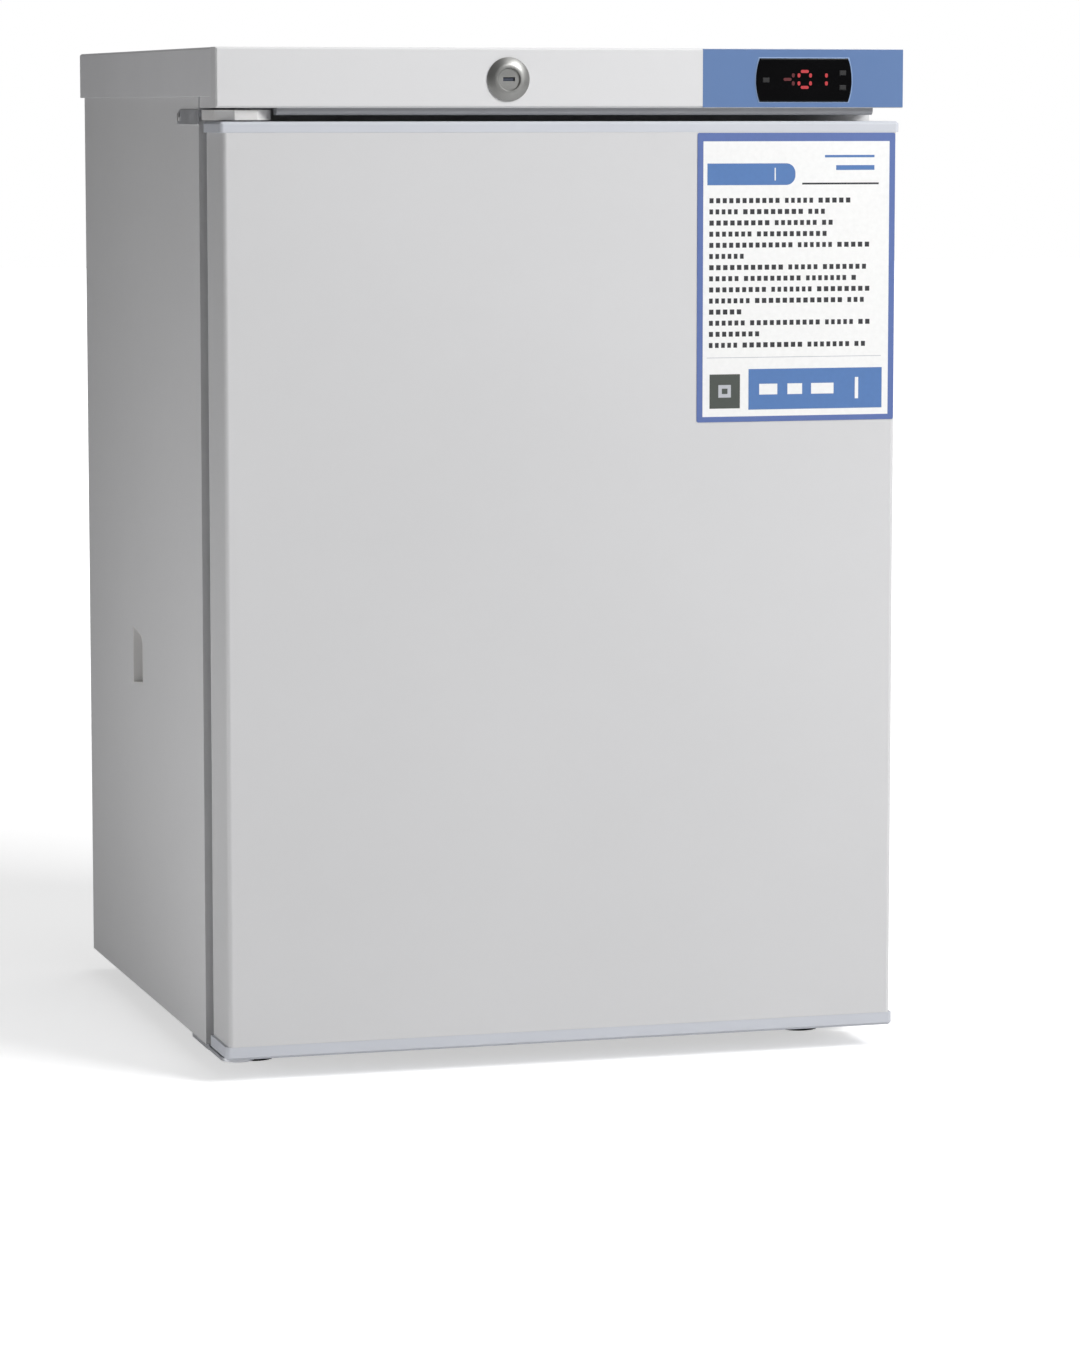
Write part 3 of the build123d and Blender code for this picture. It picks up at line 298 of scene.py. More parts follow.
@dataclass(frozen=True)
class Moulding(Finish):
    """Moulded plastic with a fine grain."""

    grain: float = 1100.0
    depth: float = 0.18
    rubbed: float = 0.07

    def dress(self, shader: Shader) -> None:
        """Grain, flow clouds and rubbed places."""
        flow = shader.noise(9.0, 3.0, (1.0, 1.0, 0.4))
        grain = shader.noise(self.grain, 3.0)
        rub = shader.noise(34.0, 4.0).over(0.62, 0.18)
        tone = shader.mix(flow, shade(self.colour, 1.03), shade(self.colour, 0.95))
        shader.set("Base Color", shader.mix(grain * 0.10, tone, shade(self.colour, 0.82)))
        shader.set("Roughness", self.roughness + grain * 0.08 - rub * self.rubbed)
        shader.relief(grain, self.depth, 0.00003)


@dataclass(frozen=True)
class Metal(Finish):
    """Bare or plated metal with drawn lines and faint stains."""

    stretch: Point = (40.0, 40.0, 600.0)
    stain: float = 0.25

    def dress(self, shader: Shader) -> None:
        """Drawn lines in the gloss and stains in the colour."""
        lines = shader.noise(1.0, 4.0, self.stretch)
        stain = shader.noise(55.0, 4.0).over(0.60, 0.25)
        grain = shader.noise(1500.0, 2.0)
        shader.set("Base Color", shader.mix(stain * self.stain, self.colour, shade(self.colour, 0.55)))
        shader.set("Metallic", 1.0 - stain * 0.15)
        shader.set("Roughness", self.roughness + (lines - 0.5) * 0.18 + stain * 0.15)
        shader.relief(lines * 0.6 + grain * 0.4, 0.15, 0.0001)


@dataclass(frozen=True)
class Spangle(Finish):
    """Galvanised sheet with crystal spangles."""

    grains: float = 95.0

    def dress(self, shader: Shader) -> None:
        """Crystals that differ in tone and gloss, with white bloom."""
        cells = shader.cells(self.grains, "Color")
        crystal = shader.node("ShaderNodeSeparateColor", {}, {"Color": cells}, "Red")
        bloom = shader.noise(12.0, 5.0).over(0.58, 0.2)
        tone = shader.mix(crystal, shade(self.colour, 0.86), shade(self.colour, 1.08))
        shader.set("Base Color", shader.mix(bloom * 0.35, tone, (0.62, 0.63, 0.64)))
        shader.set("Metallic", 0.92 - bloom * 0.4)
        shader.set("Roughness", self.roughness + crystal * 0.16 + bloom * 0.18)
        shader.relief(shader.noise(300.0, 3.0), 0.08, 0.0002)


@dataclass(frozen=True)
class Rubber(Finish):
    """Soft seal or rubber with a dull bloom."""

    def dress(self, shader: Shader) -> None:
        """Bloom on the high places and a fine skin."""
        bloom = shader.noise(26.0, 5.0)
        skin = shader.noise(900.0, 3.0)
        shader.set("Base Color", shader.mix(bloom, shade(self.colour, 0.85), shade(self.colour, 1.25)))
        shader.set("Roughness", self.roughness + bloom * 0.12)
        shader.relief(skin, 0.2, 0.0002)


@dataclass(frozen=True)
class DarkWindow(Finish):
    """Dark see-through plastic over a display, drawn as a glossy dark plate."""

    def dress(self, shader: Shader) -> None:
        """Faint wipe marks in a deep gloss."""
        wipe = shader.noise(16.0, 4.0, (1.0, 1.0, 5.0))
        shader.set("Base Color", shader.mix(wipe, self.colour, shade(self.colour, 1.6)))
        shader.set("Roughness", self.roughness + wipe * 0.10)
        shader.set("Specular IOR Level", 0.18)
        shader.relief(shader.noise(500.0, 1.0), 0.02, 0.0001)


@dataclass(frozen=True)
class Glow(Finish):
    """Lit bar of a display, uneven behind its window."""

    strength: float = 1.0

    def dress(self, shader: Shader) -> None:
        """Light that is a little stronger in the middle of each place."""
        patch = shader.noise(420.0, 2.0)
        shader.set("Emission Color", shader.mix(patch, shade(self.colour, 0.75), self.colour))
        shader.set("Emission Strength", self.strength)
        shader.set("Base Color", shade(self.colour, 0.2))


@dataclass(frozen=True)
class Print(Finish):
    """Printed film with a slight paper tooth."""

    def dress(self, shader: Shader) -> None:
        """Uneven ink and a fine tooth."""
        ink = shader.noise(240.0, 4.0)
        shader.set("Base Color", shader.mix(ink, shade(self.colour, 1.04), shade(self.colour, 0.93)))
        shader.set("Roughness", self.roughness + ink * 0.1)
        shader.relief(shader.noise(1600.0, 2.0), 0.06, 0.0001)


@dataclass(frozen=True)
class Foam(Finish):
    """Rigid foam with closed cells."""

    def dress(self, shader: Shader) -> None:
        """Cells in the surface and patches of skin."""
        cell = shader.cells(700.0)
        skin = shader.noise(18.0, 4.0)
        shader.set("Base Color", shader.mix(skin, self.colour, shade(self.colour, 0.8)))
        shader.set("Roughness", self.roughness + cell * 0.1)
        shader.relief(cell, 0.5, 0.0006)


@dataclass(frozen=True)
class Frost(Finish):
    """Aluminium tube with frost in patches."""

    def dress(self, shader: Shader) -> None:
        """Grainy white frost over a drawn metal."""
        patch = shader.noise(22.0, 5.0).over(0.50, 0.22)
        crystals = shader.noise(1300.0, 3.0)
        shader.set("Base Color", shader.mix(patch * 0.85, self.colour, (0.80, 0.83, 0.86)))
        shader.set("Metallic", 0.9 - patch * 0.85)
        shader.set("Roughness", self.roughness + patch * 0.4)
        shader.relief(crystals * patch, 0.5, 0.0006)


WHITE_ENAMEL = Enamel("white_enamel", tint(217, 217, 218), 0.46)
DOOR_ENAMEL = Enamel("door_enamel", tint(209, 209, 210), 0.44)
WORKTOP_PLASTIC = Moulding("worktop_plastic", tint(222, 222, 224), 0.45)
CAP_PLASTIC = Moulding("cap_plastic", tint(202, 205, 212), 0.48)
LIGHT_PLASTIC = Moulding("light_plastic", tint(222, 221, 220), 0.42)
LINER_PLASTIC = Moulding("liner_plastic", tint(226, 228, 230), 0.26, 500.0, 0.05, 0.005)
LIP_PLASTIC = Moulding("lip_plastic", tint(166, 167, 171), 0.5)
GREY_PLASTIC = Moulding("grey_plastic", tint(118, 120, 124), 0.5)
BLACK_PLASTIC = Moulding("black_plastic", tint(34, 34, 35), 0.5)
KEY_PLASTIC = Moulding("key_plastic", tint(17, 17, 18), 0.55)
BLUE_PLATE = Moulding("blue_plate", tint(91, 121, 168), 0.42, 1800.0, 0.10)
BLUE_RIM = Moulding("blue_rim", tint(142, 166, 202), 0.35, 1800.0, 0.08)
WINDOW_PLASTIC = DarkWindow("window_plastic", (0.0015, 0.0015, 0.0018), 0.12)
# Seal grey: partly the rubber's own grey, partly darkened to paint the shade in the gap between door and
# cabinet.
SHADED_SEAL_RUBBER = Rubber("seal_rubber", tint(88, 88, 93), 0.62)
BLACK_RUBBER = Rubber("black_rubber", tint(30, 30, 31), 0.7)
ZINC = Metal("zinc", (0.62, 0.62, 0.61), 0.38)
HINGE_ZINC = Metal("hinge_zinc", (0.66, 0.67, 0.70), 0.42)
LOCK_METAL = Metal("lock_metal", (0.34, 0.34, 0.33), 0.42, (300.0, 60.0, 300.0))
# Near-black metal for the keyway floor: painted shade standing in for the depth of the key slot.
KEYWAY_PAINTED_SHADE = Metal("keyway_painted_shade", (0.10, 0.11, 0.14), 0.5, (300.0, 60.0, 300.0))
GALVANISED = Spangle("galvanised", (0.56, 0.57, 0.58), 0.36)
COPPER = Metal("copper", (0.72, 0.36, 0.22), 0.32, (60.0, 60.0, 60.0), 0.6)
BLACK_ENAMEL = Enamel("black_enamel", tint(30, 30, 31), 0.34, 0.2)
WIRE_ENAMEL = Enamel("wire_enamel", tint(36, 36, 38), 0.42, 0.2)
FROSTED = Frost("frosted_aluminium", (0.72, 0.73, 0.74), 0.34)
FOAM = Foam("rigid_foam", tint(226, 206, 150), 0.85)
DIGIT_RED = Glow("digit_red", (0.62, 0.035, 0.045), 0.6, 0.75)
DIGIT_DIM = Glow("digit_dim", (0.20, 0.006, 0.014), 0.6, 0.35)
CARD_WHITE = Print("card_white", tint(240, 240, 239), 0.45)
CARD_FRAME = Print("card_frame", tint(92, 113, 170), 0.4)
CARD_BLUE = Print("card_blue", tint(84, 122, 178), 0.4)
CARD_INK = Print("card_ink", tint(46, 46, 50), 0.5)
CARD_LINE = Print("card_line", tint(186, 188, 194), 0.5)
CARD_OLIVE = Print("card_olive", tint(74, 79, 74), 0.45)


def spans(edge: Any, axis: Along, least: float) -> bool:
    """Whether an edge is longer along an axis than a length in millimetres."""
    return abs((edge.verts[0].co - edge.verts[1].co).dot(Vector(axis.value))) > least * MM


def at_height(edge: Any, height: float) -> bool:
    """Whether an edge lies level at a height in millimetres."""
    return all(abs(vert.co.z / MM - height) < 0.01 for vert in edge.verts)


class Workpiece:
    """One new piece while it is shaped."""

    def __init__(self, piece: bpy.types.Object) -> None:
        """Takes over an object that a start method made."""
        self.piece = piece

    def alone(self) -> None:
        """Makes the piece the active one and the only selected one."""
        bpy.ops.object.select_all(action="DESELECT")
        bpy.context.view_layer.objects.active = self.piece
        self.piece.select_set(True)

    @staticmethod
    def _settle(name: str) -> "Workpiece":
        """Names the object just added and applies its place to its mesh."""
        piece = bpy.context.active_object
        piece.name = name
        piece.data.name = name
        bpy.ops.object.transform_apply(location=True, rotation=True, scale=True)
        return Workpiece(piece)

    @classmethod
    def block(cls, name: str, low: Point, high: Point) -> "Workpiece":
        """Starts from a box between two corners, in millimetres."""
        bpy.ops.object.select_all(action="DESELECT")
        middle = [(a + b) / 2 * MM for a, b in zip(low, high)]
        size = [(b - a) * MM for a, b in zip(low, high)]
        bpy.ops.mesh.primitive_cube_add(size=1.0, location=middle, scale=size)
        return cls._settle(name)

    @classmethod
    def line(cls, name: str, points: Sequence[Point]) -> "Workpiece":
        """Starts from a line of edges through points, in millimetres."""
        bpy.ops.object.select_all(action="DESELECT")
        bpy.ops.mesh.primitive_plane_add(size=0.001, location=milli(*points[0]))
        made = cls._settle(name)
        bpy.ops.object.mode_set(mode="EDIT")
        bpy.ops.mesh.select_mode(type="VERT")
        bpy.ops.mesh.select_all(action="SELECT")
        bpy.ops.mesh.merge(type="CENTER")
        for before, after in zip(points, points[1:]):
            step = Vector(milli(*after)) - Vector(milli(*before))
            bpy.ops.mesh.extrude_region_move(TRANSFORM_OT_translate={"value": step})
        bpy.ops.object.mode_set(mode="OBJECT")
        return made

    @classmethod
    def tube(cls, name: str, points: Sequence[Point], radius: float, bend: float = 0.0) -> "Workpiece":
        """Makes a round tube along straight runs with round bends.

        Args:
            name: The piece's name.
            points: Ends and corners of the route, in millimetres.
            radius: Outer radius in millimetres.
            bend: Radius of the bends' centre line in millimetres.

        Returns:
            The tube.
        """
        made = cls.line(name, points)
        if bend:
            with made.editing("VERT", lambda vert: len(vert.link_edges) == 2):
                bpy.ops.mesh.bevel(offset_type="OFFSET", offset=bend * MM, segments=8, affect="VERTICES")
        bpy.ops.object.convert(target="CURVE")
        curve = bpy.context.active_object.data
        curve.dimensions = "3D"
        curve.bevel_depth = radius * MM
        curve.bevel_resolution = 3
        curve.use_fill_caps = True
        bpy.ops.object.convert(target="MESH")
        made.piece = bpy.context.active_object
        return made.smooth(40)

    @classmethod
    def turned(
        cls, name: str, centre: Point, axis: Along, profile: Sequence[tuple[float, float]], steps: int = 48
    ) -> "Workpiece":
        """Spins a profile about an axis.

        Args:
            name: The piece's name.
            centre: Where the axis starts, in millimetres.
            axis: The axis' direction.
            profile: Radius and place along the axis of each corner, in millimetres.
            steps: Faces round the piece.

        Returns:
            The turned piece.
        """
        start, side, way = Vector(centre), axis.aside(), Vector(axis.value)
        made = cls.line(name, [tuple(start + side * radius + way * along) for radius, along in profile])
        bpy.ops.object.mode_set(mode="EDIT")
        bpy.ops.mesh.select_all(action="SELECT")
        bpy.ops.mesh.spin(steps=steps, angle=math.tau, center=start * MM, axis=way)
        bpy.ops.mesh.select_all(action="SELECT")
        bpy.ops.mesh.remove_doubles(threshold=1e-6)
        bpy.ops.mesh.normals_make_consistent(inside=False)
        bpy.ops.object.mode_set(mode="OBJECT")
        return made.smooth(32)

    @classmethod
    def copy_of(cls, name: str, node: str) -> "Workpiece":
        """Starts from a merged copy of a CAD node's mesh, for rounding its edges."""
        piece = bpy.data.objects.new(name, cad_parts[node].data.copy())
        piece.data.name = name
        piece.data.materials.clear()
        bpy.context.scene.collection.objects.link(piece)
        made = cls(piece)
        made.alone()
        bpy.ops.mesh.customdata_custom_splitnormals_clear()
        bpy.ops.object.mode_set(mode="EDIT")
        bpy.ops.mesh.select_all(action="SELECT")
        bpy.ops.mesh.remove_doubles(threshold=2e-6)
        bpy.ops.mesh.dissolve_limited(angle_limit=math.radians(0.5))
        bpy.ops.object.mode_set(mode="OBJECT")
        return made

    @classmethod
    def merged(cls, name: str, made: Sequence["Workpiece"]) -> "Workpiece":
        """Joins workpieces into the first of them, under a new name."""
        first, *rest = made
        if rest:
            first.joined(*rest)
        first.piece.name = name
        return first

    @contextmanager
    def editing(self, kind: str, pick: Pick) -> Iterator[None]:
        """Edit mode with the picked parts selected.

        Args:
            kind: VERT, EDGE or FACE.
            pick: Says for each of them whether it is selected.

        Yields:
            Nothing; the operators in the block act on the selection.
        """
        self.alone()
        bpy.ops.object.mode_set(mode="EDIT")
        bpy.ops.mesh.select_mode(type=kind)
        bpy.ops.mesh.select_all(action="DESELECT")
        mesh = bmesh.from_edit_mesh(self.piece.data)
        parts = {"VERT": mesh.verts, "EDGE": mesh.edges, "FACE": mesh.faces}[kind]
        for part in parts:
            part.select_set(pick(part))
        bmesh.update_edit_mesh(self.piece.data)
        yield
        bpy.ops.object.mode_set(mode="OBJECT")

    def inset(self, pick: Pick, thickness: float, depth: float = 0.0) -> "Workpiece":
        """Insets the picked faces, in millimetres."""
        with self.editing("FACE", pick):
            bpy.ops.mesh.inset(thickness=thickness * MM, depth=depth * MM)
        return self

    def bevel(self, pick: Pick, width: float, segments: int = 4) -> "Workpiece":
        """Rounds the picked edges by a width in millimetres."""
        with self.editing("EDGE", pick):
            bpy.ops.mesh.bevel(offset_type="OFFSET", offset=width * MM, segments=segments, affect="EDGES")
        return self

    def modify(self, kind: str, **settings: Any) -> "Workpiece":
        """Adds a modifier with its settings and applies it."""
        self.alone()
        modifier = self.piece.modifiers.new(kind.lower(), kind)
        for key, value in settings.items():
            setattr(modifier, key, value)
        bpy.ops.object.modifier_apply(modifier=modifier.name)
        return self

    def rounded(self, width: float, segments: int = 2, angle: float = 35.0) -> "Workpiece":
        """Rounds all edges sharper than an angle by a width in millimetres, and shades flat faces flat."""
        limit = {"limit_method": "ANGLE", "angle_limit": math.radians(angle)}
        self.modify("BEVEL", width=width * MM, segments=segments, **limit)
        self.smooth(angle)
        return self.modify("WEIGHTED_NORMAL", mode="FACE_AREA", weight=100, keep_sharp=True)

    def smooth(self, angle: float) -> "Workpiece":
        """Shades faces smooth where they meet at less than an angle."""
        self.alone()
        bpy.ops.object.shade_smooth_by_angle(angle=math.radians(angle))
        return self

    def cut(self, cutter: "Workpiece") -> "Workpiece":
        """Takes another workpiece's volume away and removes that one."""
        self.modify("BOOLEAN", operation="DIFFERENCE", solver="EXACT", object=cutter.piece)
        bpy.data.objects.remove(cutter.piece)
        return self

    def repeated(self, count: int, step: Point) -> "Workpiece":
        """Repeats the piece in a row by a step in millimetres."""
        return self.modify(
            "ARRAY", count=count, use_relative_offset=False, use_constant_offset=True,
            constant_offset_displace=milli(*step),
        )

    def copies(self, moves: Sequence[Point]) -> "Workpiece":
        """Adds a copy of the piece at each move in millimetres."""
        made = []
        for move in moves:
            other = self.piece.copy()
            other.data = self.piece.data.copy()
            bpy.context.scene.collection.objects.link(other)
            other.location = milli(*move)
            made.append(Workpiece(other))
        return self.joined(*made)

    def joined(self, *others: "Workpiece") -> "Workpiece":
        """Joins other workpieces into this one."""
        self.alone()
        for other in others:
            other.piece.select_set(True)
        bpy.ops.object.join()
        return self

    def done(self, body: str, finish: Finish, replaces: Sequence[str] = ()) -> "Workpiece":
        """Dresses the piece and puts it on its body.

        Args:
            body: CAD body that carries it.
            finish: Its finish.
            replaces: CAD nodes that it stands for.

        Returns:
            The workpiece.
        """
        self.alone()
        bpy.ops.object.transform_apply(location=True, rotation=True, scale=True)
        self.piece.data.materials.clear()
        self.piece.data.materials.append(finish.material())
        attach(self.piece, body)
        if replaces:
            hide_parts(*replaces)
        LOG.info("piece %s: %d faces", self.piece.name, len(self.piece.data.polygons))
        return self


def dress_node(node: str, finish: Finish) -> None:
    """Gives a CAD node that stays in view its finish."""
    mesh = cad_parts[node].data
    mesh.materials.clear()
    mesh.materials.append(finish.material())
    LOG.info("node %s: %s", node, finish.name)


def soft_copy(node: str, body: str, finish: Finish, width: float, name: str) -> None:
    """Replaces a CAD node by a copy with rounded edges.

    Args:
        node: The CAD node.
        body: The body that carries it.
        finish: The copy's finish.
        width: Width of the rounding in millimetres.
        name: Name of the new piece.
    """
    Workpiece.copy_of(name, node).rounded(width).done(body, finish, [node])


def low_high(node: str) -> tuple[Vector, Vector]:
    """Lowest and highest corners of a CAD node in millimetres."""
    low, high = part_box(node)
    return low / MM, high / MM


def screw_head(name: str, centre: Point, axis: Along, out: float, radius: float) -> Workpiece:
    """Domed screw head with a cross recess.

    Args:
        name: The piece's name.
        centre: Middle of the head's seat, in millimetres.
        axis: The screw's axis.
        out: 1 if the head looks along the axis, and -1 if against it.
        radius: Radius of the head in millimetres.

    Returns:
        The head.
    """
    rise = radius * 0.55 * out
    dome = [(radius, rise * 0.35), (radius * 0.8, rise * 0.8), (radius * 0.4, rise)]
    profile = [(0, 0), (radius, 0), *dome, (0, rise)]
    head = Workpiece.turned(name, centre, axis, profile, 24)
    way = Vector(axis.value)
    for flat in (Vector((1, 0, 0)), Vector((0, 1, 0)), Vector((0, 0, 1))):
        if abs(flat.dot(way)) > 0.5:
            continue
        other = way.cross(flat)
        half = flat * radius * 0.62 + Vector([abs(value) for value in other]) * radius * 0.13
        middle = Vector(centre) + way * rise
        reach = half + Vector([abs(value) for value in way]) * abs(rise) * 0.6
        head.cut(Workpiece.block("recess", tuple(middle - reach), tuple(middle + reach)))
    return head.smooth(30)


@dataclass
class Lid:
    """Worktop and fascia on top of the cabinet."""

    edge: float = 0.5
    lip_ends: tuple[float, float] = (-243.0, 270.0)
    lip_front: float = -294.0
    lip_back: float = -280.0
    lip_drop: float = 5.8
    lip_seat: float = 0.1
    lip_round: float = 4.0
    screw_radius: float = 4.0
    screw_places: tuple[float, ...] = (-220.0, 0.0, 220.0)

    def lip(self) -> None:
        """Makes the grey lip under the fascia, rounded along its lower edges."""
        under = low_high("fascia_panel")[0].z
        bottom = under - self.lip_drop
        low = (self.lip_ends[0], self.lip_front, bottom)
        high = (self.lip_ends[1], self.lip_back, under + self.lip_seat)
        lip = Workpiece.block("fascia_lip", low, high)
        lip.bevel(lambda edge: at_height(edge, bottom) and spans(edge, Along.X, 100), self.lip_round, 6)
        lip.smooth(40).done("cabinet", LIP_PLASTIC)

    def build(self) -> None:
        """Makes the tray, the fascia with its lip, and the screws at the back."""
        soft_copy("worktop", "cabinet", WORKTOP_PLASTIC, self.edge, "worktop_tray")
        soft_copy("fascia_panel", "cabinet", WHITE_ENAMEL, 0.4, "fascia_shell")
        self.lip()
        low, high = low_high("worktop")
        z = (low.z + high.z) / 2 - 6
        first, *rest = self.screw_places
        head = screw_head("worktop_screws", (first, high.y, z), Along.Y, 1, self.screw_radius)
        head.copies([(x - first, 0, 0) for x in rest])
        head.done("cabinet", ZINC)


class Bar(Enum):
    """Bars of a seven-bar digit, as start and end in halves of its size."""

    TOP = ((-1, 2), (1, 2))
    MIDDLE = ((-1, 0), (1, 0))
    BOTTOM = ((-1, -2), (1, -2))
    UPPER_LEFT = ((-1, 0), (-1, 2))
    UPPER_RIGHT = ((1, 0), (1, 2))
    LOWER_LEFT = ((-1, -2), (-1, 0))
    LOWER_RIGHT = ((1, -2), (1, 0))


@dataclass
class ControlPanel:
    """Blue plate, display window, digits and keys."""

    front: float = -301.5
    digit_half: float = 5.1
    digit_quarter: float = 3.3
    bar: float = 2.5
    rim: float = 1.3
    rim_front: float = -300.35
    middle_z: float = 824.6
    minus_x: float = 191.6
    full_x: float = 206.8
    last_x: float = 220.8
    key_nodes: dict[str, str] = field(
        default_factory=lambda: {"key_set": "set_key", "key_up": "up_key", "key_down": "down_key"}
    )

    def digit(self, name: str, x: float, bars: Sequence[Bar], finish: Finish) -> None:
        """Makes one digit from bars just under the window's face.

        Args:
            name: The piece's name.
            x: Middle of the digit.
            bars: The bars that it shows.
            finish: Their finish.
        """
        made = []
        short = -self.bar * 0.62
        for number, bar in enumerate(bars):
            (x0, z0), (x1, z1) = bar.value
            grow_x, grow_z = (short, self.bar / 2) if z0 == z1 else (self.bar / 2, short)
            low = (
                x + min(x0, x1) * self.digit_half - grow_x,
                self.front - 0.06,
                self.middle_z + min(z0, z1) * self.digit_quarter - grow_z,
            )
            high = (
                x + max(x0, x1) * self.digit_half + grow_x,
                self.front + 0.2,
                self.middle_z + max(z0, z1) * self.digit_quarter + grow_z,
            )
            piece = Workpiece.block(f"{name}_{number}", low, high)
            piece.bevel(lambda edge: spans(edge, Along.Y, 0.01), self.bar * 0.45, 2)
            made.append(piece)
        Workpiece.merged(name, made).done("cabinet", finish)

    def window_rim(self) -> None:
        """Makes the light moulded rim that the window sits in."""
        low, high = low_high("display_window")
        centre = (low + high) / 2
        rim = Workpiece.copy_of("window_rim", "display_window")
        grow = Vector((1 + 2 * self.rim / (high.x - low.x), 1.0, 1 + 2 * self.rim / (high.z - low.z)))
        shift = Vector((0.0, self.rim_front - low.y, 0.0))
        rim.piece.scale = grow
        rim.piece.location = (centre - centre * grow + shift) * MM
        rim.rounded(0.2)
        rim.done("cabinet", BLUE_RIM)

    def build(self) -> None:
        """Makes the plate, the window with its rim, the digits and the keys."""
        soft_copy("control_panel", "cabinet", BLUE_PLATE, 0.15, "blue_fascia_plate")
        self.window_rim()
        soft_copy("display_window", "cabinet", WINDOW_PLASTIC, 0.25, "window_lens")
        dress_node("controller_body", BLACK_PLASTIC)
        self.digit("digit_minus", self.minus_x, [Bar.MIDDLE, Bar.UPPER_RIGHT, Bar.LOWER_RIGHT], DIGIT_DIM)
        self.digit("digit_full", self.full_x, [bar for bar in Bar if bar is not Bar.MIDDLE], DIGIT_RED)
        self.digit("digit_last", self.last_x, [Bar.UPPER_RIGHT, Bar.LOWER_RIGHT], DIGIT_RED)
        for node, body in self.key_nodes.items():
            soft_copy(node, body, KEY_PLASTIC, 0.12, f"{node}_cap")


@dataclass
class LockCylinder:
    """Round key lock in the fascia."""

    x: float = -49.7
    z: float = 824.3
    seat: float = -300.0
    flange: float = 18.0
    barrel: float = 12.45
    bore: float = 9.06
    length: float = 36.0

    def build(self) -> None:
        """Makes the flange and barrel, and dresses the plug and cam."""
        profile = [
            (self.bore, self.length),
            (self.bore, -3.4),
            (self.bore + 0.7, -4.0),
            (12.2, -4.0),
            (12.9, -3.6),
            (self.flange - 0.5, -1.5),
            (self.flange, -0.9),
            (self.flange, 0.0),
            (self.barrel, 0.0),
            (self.barrel, self.length),
            (self.bore, self.length),
        ]
        barrel = Workpiece.turned("lock_rim", (self.x, self.seat, self.z), Along.Y, profile, 72)
        barrel.done("cabinet", LOCK_METAL, ["lock_barrel"])
        soft_copy("lock_plug", "lock", LOCK_METAL, 0.2, "lock_core")
        soft_copy("lock_cam", "lock", ZINC, 0.3, "lock_cam_plate")
        # The keyway is a shallow recess in near-black metal, which paints the shade of a deep key slot.
        low = (self.x - 4.9, self.seat - 1.6, self.z - 1.5)
        floor = Workpiece.block("keyway_floor", low, (self.x + 4.9, self.seat + 1.2, self.z + 1.5))
        floor.inset(lambda face: face.normal.y < -0.9, 0.5, -0.8)
        floor.done("lock", KEYWAY_PAINTED_SHADE)


